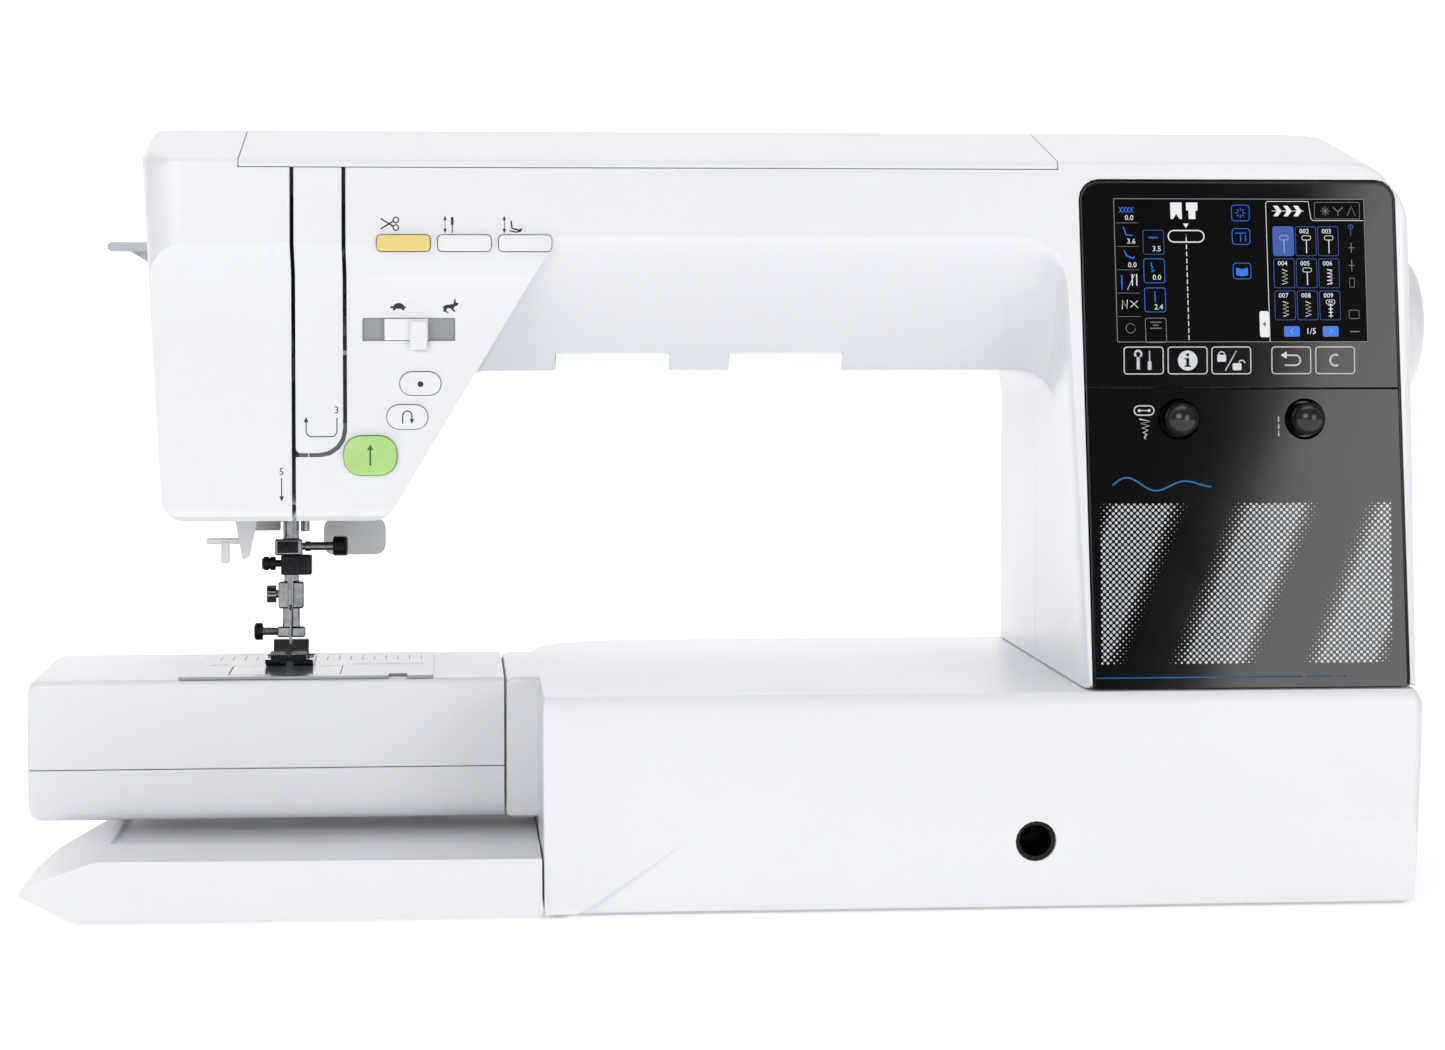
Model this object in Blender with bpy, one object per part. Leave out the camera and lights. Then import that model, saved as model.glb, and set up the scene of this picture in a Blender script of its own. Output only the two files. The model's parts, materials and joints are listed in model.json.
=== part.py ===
"""Long-arm computerised sewing machine, modelled as it comes apart on a bench.

World frame in metres: +X to the handwheel, +Y to the rear, +Z up, origin under the middle of
the machine on the surface that it stands on.
"""
import bpy
import bmesh
from math import atan, cos, degrees, pi, radians, sin, sqrt
from mathutils import Matrix, Vector

# ---- driving dimensions --------------------------------------------------------------------
gap = 0.0003                 # clearance between neighbours that touch or slide
wall = 0.0025                # moulded wall thickness
corner_steps = 4             # straight pieces in a rounded corner

base_left = -0.0910          # left face of the base, where the free arm starts
base_width = 0.3513          # along X
base_front = -0.1235         # front face of the base
base_depth = 0.2470          # along Y
bed_height = 0.0870          # top of the bed and of the free arm
foot_lift = 0.0015           # rubber feet stand proud by this much

free_arm_reach = 0.2075      # from the base's left face to the arm's left end
free_arm_width = 0.1040
free_arm_bottom = 0.0290
free_arm_split = 0.0505      # seam between upper and lower cover
collar_width = 0.0135        # fixed block at the root of the free arm

plinth_reach = 0.2035        # from the base's left face to the plinth's tip
plinth_height = 0.0250

arm_top = 0.3135
arm_under = 0.2130           # underside of the arm
arm_rear = 0.0600            # rear face of the head and arm
pillar_rear = 0.0980
crease_z = 0.2642            # lower edge of the arm's upright front face
pillar_width = 0.1365
face_lean = 0.0613           # the arm's front face leans back by this much per metre of height
head_reach = 0.0532          # from the needle to the head's left face
head_bottom = 0.1545
head_set_back = 0.0112       # the head's lower face is this far behind its upper face

needle_x = -0.1943
needle_y = -0.0010
presser_y = 0.0105
shaft_z = 0.2312
shaft_radius = 0.0050
lower_shaft_y = 0.0150
lower_shaft_z = 0.0450
lower_shaft_radius = 0.0040

slot_x = -0.1882             # thread slot beside the face cover
slot_width = 0.0016
strip_width = 0.0202         # cover strip between the two thread slots

lid_left = -0.2088
lid_right = 0.1148
lid_rear = 0.0340
lid_front_z = 0.2942

wheel_radius = 0.0305
wheel_reach = 0.0314         # handwheel's face outside the pillar's right side
panel_thickness = 0.0030

# ---- places that follow from them ----------------------------------------------------------
base_right = base_left + base_width
base_rear = base_front + base_depth
pillar_right = base_right
pillar_left = pillar_right - pillar_width + 0.0012
head_left = needle_x - head_reach
free_arm_left = base_left - free_arm_reach
free_arm_right = base_left - collar_width
arm_floor = bed_height + gap             # the arm's covers stand on the bed
wheel_face = pillar_right + wheel_reach
panel_left = pillar_left - 0.0020
panel_right = pillar_right - 0.0092
plate_top = bed_height + 0.0012

model = bpy.data.collections.new("sewing_machine")
cutters = bpy.data.collections.new("cutters")


# ---- small tools ---------------------------------------------------------------------------
def clear_scene():
    for item in list(bpy.data.objects):
        bpy.data.objects.remove(item, do_unlink=True)
    bpy.context.scene.collection.children.link(model)
    bpy.context.scene.collection.children.link(cutters)


def finish(name, colour, roughness=0.4, metallic=0.0):
    material = bpy.data.materials.new(name)
    material.use_nodes = True
    shader = material.node_tree.nodes["Principled BSDF"]
    shader.inputs["Base Color"].default_value = (*colour, 1.0)
    shader.inputs["Roughness"].default_value = roughness
    shader.inputs["Metallic"].default_value = metallic
    material.diffuse_color = (*colour, 1.0)
    return material


def as_object(bm, name, material=None):
    """Turns a bmesh into an object; without a material it is a cutter."""
    bmesh.ops.recalc_face_normals(bm, faces=bm.faces)
    mesh = bpy.data.meshes.new(name)
    bm.to_mesh(mesh)
    bm.free()
    mesh.shade_smooth()
    mesh.set_sharp_from_angle(angle=radians(32))
    item = bpy.data.objects.new(name, mesh)
    if material is None:
        cutters.objects.link(item)
        item.hide_render = True
        item.display_type = "WIRE"
    else:
        mesh.materials.append(material)
        model.objects.link(item)
    return item


def box(name, low, high, material=None, edge=0.0, steps=1):
    bm = bmesh.new()
    size = Vector(high) - Vector(low)
    middle = (Vector(high) + Vector(low)) / 2
    bmesh.ops.create_cube(bm, size=1.0)
    bmesh.ops.scale(bm, vec=size, verts=bm.verts)
    bmesh.ops.translate(bm, vec=middle, verts=bm.verts)
    if edge > 0:
        bmesh.ops.bevel(bm, geom=bm.edges[:], offset=edge, segments=steps, affect="EDGES", profile=0.5)
    return as_object(bm, name, material)


def cylinder(name, start, end, radius, material=None, sides=20, end_radius=None):
    """A round bar from one point to another."""
    start = Vector(start)
    run = Vector(end) - start
    tip = radius if end_radius is None else end_radius
    bm = bmesh.new()
    bmesh.ops.create_cone(bm, cap_ends=True, segments=sides, radius1=radius, radius2=tip, depth=run.length)
    turn = run.to_track_quat("Z", "Y").to_matrix().to_4x4()
    place = Matrix.Translation(start + run / 2) @ turn
    bmesh.ops.transform(bm, matrix=place, verts=bm.verts)
    return as_object(bm, name, material)


def turned(name, profile, place, material=None, steps=24):
    """Spins a closed (radius, height) profile about Z, then places it with a matrix."""
    bm = bmesh.new()
    verts = [bm.verts.new((radius, 0.0, height)) for radius, height in profile]
    edges = []
    for one, two in zip(verts, verts[1:] + verts[:1]):
        if one.co.x > 0 or two.co.x > 0:
            edges.append(bm.edges.new((one, two)))
    bmesh.ops.spin(bm, geom=verts + edges, cent=(0, 0, 0), axis=(0, 0, 1), angle=2 * pi, steps=steps,
                   use_merge=True)
    bmesh.ops.remove_doubles(bm, verts=bm.verts, dist=0.00001)
    bmesh.ops.dissolve_degenerate(bm, edges=bm.edges, dist=0.00001)
    bmesh.ops.transform(bm, matrix=place, verts=bm.verts)
    return as_object(bm, name, material)


def round_corners(corners, steps=corner_steps):
    """Replaces each (u, v, radius) corner by an arc of the same number of points."""
    points = []
    count = len(corners)
    for index, (u, v, radius) in enumerate(corners):
        here = Vector((u, v))
        before = (Vector(corners[index - 1][:2]) - here).normalized()
        after = (Vector(corners[(index + 1) % count][:2]) - here).normalized()
        half = before.angle(after) / 2
        reach = radius / max(sin(half), 0.05) * cos(half)
        middle = here + (before + after).normalized() * (radius / max(sin(half), 0.05))
        first = (here + before * reach - middle).normalized()
        last = (here + after * reach - middle).normalized()
        for step in range(steps + 1):
            points.append(middle + first.slerp(last, step / steps) * radius)
    return points


def inset(corners, amount):
    """Moves every side of a clockwise outline inwards and keeps its arcs concentric."""
    moved = []
    count = len(corners)
    for index, (u, v, radius) in enumerate(corners):
        here = Vector((u, v))
        ahead = (Vector(corners[(index + 1) % count][:2]) - here).normalized()
        behind = (here - Vector(corners[index - 1][:2])).normalized()
        in_ahead = Vector((ahead.y, -ahead.x))
        in_behind = Vector((behind.y, -behind.x))
        shift = (in_ahead + in_behind) * (amount / (1 + in_ahead.dot(in_behind)))
        turn = behind.x * ahead.y - behind.y * ahead.x
        grown = radius - amount if turn < 0 else radius + amount
        moved.append((u + shift.x, v + shift.y, max(grown, 0.0004)))
    return moved


def prism(name, outline, start, end, axis, material=None):
    """Extrudes a flat outline along an axis: (u, v) is (Y, Z), (X, Z) or (X, Y)."""
    def point(uv, along):
        if axis == "X":
            return (along, uv[0], uv[1])
        if axis == "Y":
            return (uv[0], along, uv[1])
        return (uv[0], uv[1], along)

    bm = bmesh.new()
    face = bm.faces.new([bm.verts.new(point(uv, start)) for uv in outline])
    grown = bmesh.ops.extrude_face_region(bm, geom=[face])
    moved = [item for item in grown["geom"] if isinstance(item, bmesh.types.BMVert)]
    bmesh.ops.translate(bm, vec=Vector(point((0, 0), end - start)), verts=moved)
    return as_object(bm, name, material)


def loft(name, rings, material=None):
    """Joins rings of equal length, with a cap at each end."""
    bm = bmesh.new()
    rows = [[bm.verts.new(point) for point in ring] for ring in rings]
    count = len(rows[0])
    for one, two in zip(rows, rows[1:]):
        for i in range(count):
            bm.faces.new((one[i], one[(i + 1) % count], two[(i + 1) % count], two[i]))
    bm.faces.new(rows[0])
    bm.faces.new(rows[-1])
    return as_object(bm, name, material)


def boolean(item, tool, operation):
    change = item.modifiers.new(tool.name, "BOOLEAN")
    change.operation = operation
    change.solver = "EXACT"
    change.object = tool
    return item


def cut(item, *tools):
    for tool in tools:
        boolean(item, tool, "DIFFERENCE")
    return item


def join(item, *tools):
    for tool in tools:
        boolean(item, tool, "UNION")
    return item


def keep(item, tool):
    return boolean(item, tool, "INTERSECT")


def settle(item):
    """Bakes an object's modifiers into its mesh, for pieces that share one body."""
    graph = bpy.context.evaluated_depsgraph_get()
    mesh = bpy.data.meshes.new_from_object(item.evaluated_get(graph))
    item.modifiers.clear()
    item.data = mesh
    return item


def hinge_at(item, point):
    """Puts an object's origin on its joint's axis and leaves its shape where it is."""
    item.data.transform(Matrix.Translation(-Vector(point)))
    item.location = point
    return item


def carry(parent, *children):
    for child in children:
        child.parent = parent
        child.matrix_parent_inverse = Matrix.Translation(-parent.location)


def face_y(z):
    """Y of the arm's leaning front face at a height."""
    return base_front + 0.0060 + face_lean * (z - bed_height)


def on_face(name, outline, near, far, material=None):
    """A prism across the leaning front face, between two depths behind it."""
    item = prism(name, outline, 0.0, 1.0, "Y", material)
    for vertex in item.data.vertices:
        depth = near if vertex.co.y < 0.5 else far
        vertex.co.y = face_y(vertex.co.z) + depth
    item.data.update()
    return item


def rectangle(u0, v0, u1, v1, radius):
    return [(u0, v1, radius), (u1, v1, radius), (u1, v0, radius), (u0, v0, radius)]


# ---- finishes ------------------------------------------------------------------------------
clear_scene()
white = finish("white_abs", (0.86, 0.87, 0.89), 0.3)
pale_grey = finish("pale_grey_abs", (0.62, 0.64, 0.67), 0.4)
gloss_black = finish("gloss_black_acrylic", (0.012, 0.012, 0.015), 0.08)
knob_black = finish("knob_black_abs", (0.015, 0.015, 0.016), 0.3)
yellow = finish("yellow_abs", (0.88, 0.66, 0.20), 0.35)
green = finish("green_translucent_abs", (0.42, 0.80, 0.22), 0.3)
clear = finish("clear_acrylic", (0.80, 0.85, 0.88), 0.08)
steel = finish("nickel_plated_steel", (0.62, 0.62, 0.62), 0.22, 1.0)
dark_steel = finish("black_oxide_steel", (0.05, 0.05, 0.055), 0.35, 0.8)
cast = finish("cast_aluminium", (0.55, 0.56, 0.57), 0.5, 1.0)
rubber = finish("black_rubber", (0.03, 0.03, 0.03), 0.8)
board_green = finish("circuit_board", (0.02, 0.16, 0.07), 0.5)
zinc = finish("zinc_plated_steel", (0.66, 0.67, 0.66), 0.35, 1.0)
bronze = finish("sintered_bronze", (0.5, 0.33, 0.16), 0.5, 1.0)


# ---- base and bed --------------------------------------------------------------------------
crease_drop = 0.0487         # from the bed's top to the fold across the base's front
undercut = 0.0060            # how far the lower front panel falls back at the bottom
knee_x = 0.1040
knee_z = 0.0280
knee_radius = 0.0064


def bed_outline(front, rear, side):
    """Plan of the base with its big rear left corner; insets are from the full size."""
    left = base_left + 0.25 * side
    right = base_right - side
    return [
        (left, base_rear - rear, 0.045),
        (right, base_rear - rear, 0.020),
        (right, base_front + front, 0.004),
        (left, base_front + front, 0.0008),
    ]


def bed_rings(thickness):
    """Sections of the base from its open bottom to its top, shrunk inwards by a wall."""
    rear_round = 0.0270
    levels = [(foot_lift, 0.0022, 0.0, 0.0028), (foot_lift + 0.0025, 0.0006, 0.0, 0.0022)]
    levels.append((bed_height - rear_round, 0.0, 0.0, 0.0004))
    for step in range(1, 6):
        turn = radians(18 * step)
        drop = rear_round * (1 - sin(turn))
        nose = max(0.0030 - drop, 0.0)
        levels.append((bed_height - drop, nose * 0.9, rear_round * (1 - cos(turn)), nose * 0.9 + 0.0002))
    rings = []
    for z, front, rear, side in levels:
        corners = bed_outline(front, rear, side)
        if thickness > 0:
            corners = inset(corners, thickness)
            z = z - thickness if z > foot_lift + 0.001 else foot_lift - 0.001
        rings.append([(u, v, z) for u, v in round_corners(corners)])
    return rings


def undercut_wedge(thickness):
    """Falls the lower front panel back below a fold that runs along it and down to the left."""
    fold = bed_height - crease_drop
    corner = base_left + 0.0700
    bottom = -0.010
    below = [
        (corner, fold + 0.001, 0.004),
        (base_right + 0.02, fold - 0.0045, 0.001),
        (base_right + 0.02, bottom, 0.001),
        (corner - 0.0738, bottom, 0.001),
    ]
    name = f"undercut_wedge_{round(thickness * 10000)}"
    wedge = prism(name, round_corners(inset(below, -thickness)), base_front - 0.01, base_front + 0.01, "Y")
    for vertex in wedge.data.vertices:
        if vertex.co.y > base_front:
            vertex.co.y = base_front + thickness + undercut * (fold - vertex.co.z) / fold
    return wedge


def make_base_housing():
    housing = loft("base_housing", bed_rings(0.0), white)
    core = loft("base_hollow", bed_rings(wall))
    cut(core, undercut_wedge(wall))
    cut(housing, undercut_wedge(0.0), core)
    collar_half = free_arm_width / 2
    collar = box("collar_block", (free_arm_right, -collar_half, free_arm_bottom),
                 (base_left + 0.010, collar_half, bed_height - 0.0001), edge=0.003, steps=2)
    join(housing, collar)
    passage = box("free_arm_passage", (free_arm_right - 0.01, -collar_half + 0.006, free_arm_bottom + 0.005),
                  (base_left + 0.02, collar_half - 0.006, bed_height - 0.006))
    pillar_hole = box("pillar_passage", (pillar_left + 0.012, -0.095, bed_height - 0.02),
                      (pillar_right - 0.012, 0.080, bed_height + 0.02))
    cut(housing, passage, pillar_hole)
    knee_hole = cylinder("knee_hole", (knee_x, base_front - 0.01, knee_z),
                         (knee_x, base_front + 0.02, knee_z), knee_radius + 0.0015 + gap)
    cut(housing, knee_hole)
    inlet_hole = box("inlet_hole", (base_right - 0.02, inlet_y - 0.012 - gap, inlet_z - 0.010 - gap),
                     (base_right + 0.02, inlet_y + 0.012 + gap, inlet_z + 0.010 + gap))
    switch_hole = box("switch_hole", (base_right - 0.02, switch_y - 0.0075 - gap, inlet_z - 0.0115 - gap),
                      (base_right + 0.02, switch_y + 0.0075 + gap, inlet_z + 0.0115 + gap))
    cut(housing, inlet_hole, switch_hole)
    return housing


def make_bottom_plate():
    plan = inset(bed_outline(0.0022 + undercut, 0.0, 0.0028), wall + 2 * gap)
    low = foot_lift + 0.0002
    plate = prism("bottom_plate", round_corners(plan, 2), low, low + wall, "Z", pale_grey)
    for name, x, y in (("foot_front_right", base_right - 0.028, base_front + 0.030),
                       ("foot_rear_right", base_right - 0.030, base_rear - 0.030)):
        make_foot(name, x, y, plate)
    return plate


def make_foot(name, x, y, holder):
    """A rubber foot in a shallow pocket of the plate that holds it."""
    radius = 0.0080
    deep = foot_lift + 0.0015
    cylinder(name, (x, y, 0.0), (x, y, deep), radius * 0.94, rubber, 16, radius)
    pocket = cylinder(name + "_pocket", (x, y, -0.002), (x, y, deep + gap), radius + gap, None, 16)
    cut(holder, pocket)


def make_base_extension():
    """The low plinth that reaches out under the free arm."""
    tip = base_left - plinth_reach
    right = base_left - gap
    side = [
        (tip, 0.0125, 0.0020),
        (tip + 0.0035, 0.0158, 0.0030),
        (tip + 0.0305, plinth_height, 0.010),
        (right, plinth_height - 0.0010, 0.0005),
        (right, foot_lift, 0.0005),
        (tip + 0.0230, foot_lift, 0.012),
    ]
    rear = base_rear - 0.020
    plinth = prism("base_extension", round_corners(side), base_front, rear, "Y", white)
    taper = [(tip - 0.02, base_front + 0.012), (tip, base_front + 0.012), (tip + 0.0075, -0.040),
             (tip + 0.036, 0.030), (tip + 0.040, rear + 0.02), (tip - 0.02, rear + 0.02)]
    taper_cut = prism("plinth_taper", taper, -0.01, 0.05, "Z")
    step = box("plinth_step", (tip + 0.0320, base_front + 0.0435, plinth_height - 0.0025),
               (right + 0.01, rear + 0.01, plinth_height + 0.01))
    hollow = box("plinth_hollow", (tip + 0.046, base_front + wall, foot_lift + wall),
                 (right + 0.01, rear - wall, plinth_height - 0.0025 - wall))
    cut(plinth, taper_cut, step, hollow)
    make_foot("foot_front_left", tip + 0.034, base_front + 0.028, plinth)
    make_foot("foot_rear_left", tip + 0.056, rear - 0.020, plinth)
    return plinth


def make_knee_socket():
    """Steel cup behind the hole for the knee-lifter bar, which turns in it."""
    place = Matrix.Translation((knee_x, base_front + 0.0040, knee_z)) @ Matrix.Rotation(-pi / 2, 4, "X")
    outer = knee_radius + 0.0015
    profile = [(knee_radius, 0.0), (outer, 0.0), (outer, 0.030), (0.0030, 0.030), (0.0030, 0.027),
               (knee_radius, 0.027)]
    socket = turned("knee_lifter_socket", profile, place, dark_steel, 20)
    return hinge_at(socket, (knee_x, base_front + 0.0040, knee_z))


inlet_y = 0.0640
switch_y = 0.0940
inlet_z = 0.0400


def make_mains():
    right = base_right - 0.0012
    body = box("power_inlet", (right - 0.024, inlet_y - 0.012, inlet_z - 0.010),
               (right, inlet_y + 0.012, inlet_z + 0.010), knob_black, 0.001)
    well = box("inlet_well", (right - 0.015, inlet_y - 0.009, inlet_z - 0.006),
               (right + 0.01, inlet_y + 0.009, inlet_z + 0.006))
    cut(body, well)
    reach = 0.0080
    rocker = [(right - reach, -0.0085), (right + 0.0018, -0.0105), (right - 0.0004, 0.0),
              (right + 0.0004, 0.0105), (right - reach, 0.0085)]
    outline = [(x, inlet_z + z) for x, z in rocker]
    switch = prism("power_switch", outline, switch_y - 0.0070, switch_y + 0.0070, "Y", knob_black)
    hinge_at(switch, (right - 0.0060, switch_y, inlet_z))


# ---- free arm ------------------------------------------------------------------------------
plate_left = needle_x - 0.0435
plate_right = needle_x + 0.0603
plate_front = -0.0508
plate_rear = 0.0400


def free_arm_section(low, high, grow, top_edge, bottom_edge):
    """Rings of the free arm along X: its left end and its long edges are rounded."""
    half = free_arm_width / 2
    rings = []
    for x, shrink in ((free_arm_left + grow, 0.0035), (free_arm_left + grow + 0.0010, 0.0012),
                      (free_arm_left + grow + 0.0040, 0.0), (free_arm_right - gap, 0.0)):
        less = grow + shrink
        corners = [(-half + less, high - (less if top_edge else 0.0), 0.0030 if top_edge else 0.0005),
                   (half - less, high - (less if top_edge else 0.0), 0.0030 if top_edge else 0.0005),
                   (half - less, low + (less if bottom_edge else 0.0), 0.0080 if bottom_edge else 0.0005),
                   (-half + less, low + (less if bottom_edge else 0.0), 0.0080 if bottom_edge else 0.0005)]
        rings.append([(x, u, v) for u, v in round_corners(corners, 3)])
    return rings


def make_free_arm():
    split = free_arm_split
    upper = loft("free_arm_upper_cover", free_arm_section(split + gap, bed_height, 0.0, True, False), white)
    hollow = free_arm_section(split - 0.01, bed_height, wall, True, False)
    hollow[-1] = [(x + 0.01, y, z) for x, y, z in hollow[-1]]
    cut(upper, loft("upper_arm_hollow", hollow))
    well = box("hook_well", (plate_left + 0.010, plate_front + 0.0045, bed_height - 0.01),
               (plate_right - 0.040, plate_rear - 0.006, bed_height + 0.01))
    cut(upper, well)
    lower = loft("free_arm_lower_cover", free_arm_section(free_arm_bottom, split, 0.0, False, True), white)
    hollow = free_arm_section(free_arm_bottom, split + 0.01, wall, False, True)
    hollow[-1] = [(x + 0.01, y, z) for x, y, z in hollow[-1]]
    cut(lower, loft("lower_arm_hollow", hollow))


def make_needle_plate():
    floor = bed_height + 0.0001
    outline = [(plate_left + 0.0100, plate_rear, 0.002), (plate_right, plate_rear, 0.002),
               (plate_right, plate_front, 0.0015), (plate_left, plate_front, 0.0015)]
    plate = prism("needle_plate", round_corners(outline, 2), floor, plate_top, "Z", steel)
    window = box("window_hole", (window_left, window_front, floor - 0.01),
                 (window_right, window_rear, plate_top + 0.01))
    notch_x = needle_x + 0.0460
    notch = box("release_notch", (notch_x - 0.0038, plate_front - 0.01, floor - 0.01),
                (notch_x + 0.0038, plate_front + 0.0080, plate_top + 0.01))
    hole = box("needle_hole", (needle_x - 0.0050, needle_y - 0.0016, floor - 0.01),
               (needle_x + 0.0050, needle_y + 0.0016, plate_top + 0.01))
    cut(plate, window, notch, hole)
    for index, shift in enumerate(tooth_rows):
        near = tooth_front - feed_travel - gap
        far = tooth_rear + feed_travel + gap
        half = tooth_half + 2 * gap
        slot = box(f"feed_slot_{index}", (needle_x + shift - half, near, floor - 0.01),
                   (needle_x + shift + half, far, plate_top + 0.01))
        cut(plate, slot)
    return plate


window_left = needle_x - 0.0235
window_right = needle_x + 0.0225
window_front = -0.0440
window_rear = -0.0125
tooth_rows = (-0.0068, 0.0068)
tooth_half = 0.0010
tooth_front = -0.0070
tooth_rear = 0.0130
feed_travel = 0.0022         # the feed dog's stroke to each side of rest


def make_bobbin_cover():
    """Clear cover over the bobbin; it tips up on its rear edge."""
    cover = box("bobbin_cover", (window_left + gap, window_front + gap, bed_height + 0.0002),
                (window_right - gap, window_rear - gap, plate_top), clear, 0.0002)
    return hinge_at(cover, ((window_left + window_right) / 2, window_rear - gap, plate_top))


def make_feed_dog():
    """Two toothed bars on a yoke that leaves the needle's way open."""
    top = bed_height - 0.0022
    yoke = box("feed_dog", (needle_x - 0.0085, tooth_rear - 0.0050, top - 0.0060),
               (needle_x + 0.0085, tooth_rear + 0.0040, top - 0.0010), steel)
    for index, shift in enumerate(tooth_rows):
        x = needle_x + shift
        bar = [(tooth_front, top - 0.0040), (tooth_front, bed_height + 0.0003)]
        teeth = 6
        pitch = (tooth_rear - tooth_front) / teeth
        for tooth in range(teeth):
            y = tooth_front + pitch * tooth
            bar.append((y + pitch * 0.5, bed_height + 0.0009))
            bar.append((y + pitch, bed_height + 0.0003))
        bar.append((tooth_rear, top - 0.0040))
        join(yoke, prism(f"feed_bar_{index}", bar, x - tooth_half, x + tooth_half, "X"))
    return yoke


hook_x = needle_x - 0.0010
hook_y = needle_y - 0.0262
hook_radius = 0.0215


def make_hook():
    """Cup of the horizontal rotary hook, on its upright shaft, with the bobbin in it."""
    floor = bed_height - 0.0330
    place = Matrix.Translation((hook_x, hook_y, floor))
    profile = [(hook_radius - 0.0020, 0.0260), (hook_radius, 0.0260), (hook_radius, 0.0110),
               (0.0060, 0.0100), (0.0060, 0.0), (0.0, 0.0), (0.0, 0.0125), (hook_radius - 0.0020, 0.0130)]
    hook = turned("rotary_hook", profile, place, steel)
    hinge_at(hook, (hook_x, hook_y, floor))
    place = Matrix.Translation((hook_x, hook_y, floor + 0.0140))
    flange = 0.0103
    core = 0.0045
    profile = [(0.0031, 0.0115), (flange, 0.0115), (flange, 0.0103), (core, 0.0103), (core, 0.0012),
               (flange, 0.0012), (flange, 0.0), (0.0031, 0.0)]
    bobbin = turned("bobbin", profile, place, clear)
    hinge_at(bobbin, (hook_x, hook_y, floor + 0.0140))


# ---- arm, head and pillar covers -----------------------------------------------------------
slope_run = 0.0600           # the arm's front slopes back under over this depth
head_right_run = 0.6005      # the head's right edge moves this far right per metre of height
cheek_round = 0.0160         # rounding of the head's upright front left edge


def head_right_at(z):
    return needle_x + 0.0515 + head_right_run * (z - 0.1694)


def arm_corners(top, under, inner_x, cheek):
    """Outline of the arm seen from the front, clockwise from the head's top left corner."""
    low = arm_floor
    return [
        (head_left + cheek, top, 0.0040),
        (pillar_right - 0.0170, top, 0.0200),
        (pillar_right - 0.0020, 0.2800, 0.0240),
        (pillar_right - 0.0006, low, 0.0006),
        (pillar_left, low, 0.0006),
        (inner_x, under, 0.0170),
        (head_right_at(under), under, 0.0080),
        (head_right_at(head_bottom), head_bottom, 0.0090),
        (head_left + cheek + 0.0078, head_bottom, 0.0085),
    ]


def arm_rings(thickness):
    """Sections of the arm from its leaning front face to the pillar's rear face."""
    fold = lid_front_z + 0.0030
    steps = ((0.0, 0.0012, 0.0034), (0.0010, 0.0001, 0.0014), (0.0032, 0.0, 0.0004), (0.0085, 0.0, 0.0),
             (cheek_round, 0.0, 0.0), (slope_run, 0.0, 0.0))
    rings = []
    for depth, soft, shrink in steps:
        top = fold - soft + (arm_top - 0.0025 - fold) * depth / slope_run
        roll = 1 - min(depth / cheek_round, 1.0)
        cheek = cheek_round * (1 - sqrt(1 - roll * roll))
        along = depth / slope_run
        under = crease_z - (crease_z - arm_under) * max(along - 0.02, 0.0) / 0.98
        inner = pillar_left - 0.0085 * (1 - along)
        corners = arm_corners(top + shrink, under, inner, max(cheek - shrink, 0.0))
        rings.append((depth, None, inset(corners, shrink + thickness)))
    for y, shrink in ((-0.0020, 0.0), (pillar_rear - 0.0080, 0.0), (pillar_rear - 0.0024, 0.0024),
                      (pillar_rear, 0.0080)):
        corners = arm_corners(arm_top, arm_under, pillar_left, 0.0)
        corners[5] = (*corners[5][:2], 0.0150)
        rings.append((None, y, inset(corners, shrink + thickness)))
    placed = []
    for depth, y, corners in rings:
        outline = round_corners(corners)
        if y is None:
            lift = thickness if depth < 0.001 else 0.0
            placed.append([(u, face_y(v) + depth + thickness * 0.9 + lift * 0.1, v) for u, v in outline])
        else:
            back = thickness if y > 0 else 0.0
            placed.append([(u, y - back, v) for u, v in outline])
    return placed


def arm_rear_cutter(thickness):
    """Takes away what is behind the head and arm, left of the pillar."""
    low = (head_left - 0.05, arm_rear - thickness, head_bottom - 0.05)
    high = (pillar_left - 0.0002 + thickness, pillar_rear + 0.05, arm_top + 0.05)
    return box(f"behind_arm_{round(thickness * 10000)}", low, high)


def head_face_y():
    return face_y(crease_z) + head_set_back


def head_recess(thickness):
    """Sets the head's lower face back behind its upper face, with a sloping fold between."""
    y_low = head_face_y() + thickness
    y_top = face_y(crease_z) + thickness * 0.4
    fold = 0.0124
    low = head_bottom + thickness
    side = [(y_top, crease_z), (y_low, crease_z - fold), (y_low, low + 0.0060),
            (y_low + 0.0016, low + 0.0020), (y_low + 0.0060, low - 0.0010),
            (y_low + 0.0060, head_bottom - 0.02), (-0.2, head_bottom - 0.02), (-0.2, crease_z)]
    return prism(f"head_face_{round(thickness * 10000)}", side, head_left - 0.02, pillar_left - 0.030, "X")


def make_arm_body():
    """The whole hollow moulding, before it is parted along its seams."""
    body = loft("arm_body", arm_rings(0.0))
    cut(body, head_recess(0.0), arm_rear_cutter(0.0))
    core = loft("arm_core", arm_rings(wall))
    cut(core, head_recess(wall), arm_rear_cutter(wall))
    cut(body, core)
    floor = box("arm_floor_opening", (pillar_left + 0.006, -0.100, arm_floor - 0.01),
                (pillar_right - 0.006, 0.088, arm_floor + 0.006))
    cut(body, floor)
    return settle(body)


def arm_piece(name, body, material):
    item = bpy.data.objects.new(name, body.data.copy())
    item.data.materials.clear()
    item.data.materials.append(material)
    model.objects.link(item)
    return item


big = 0.5


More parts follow.
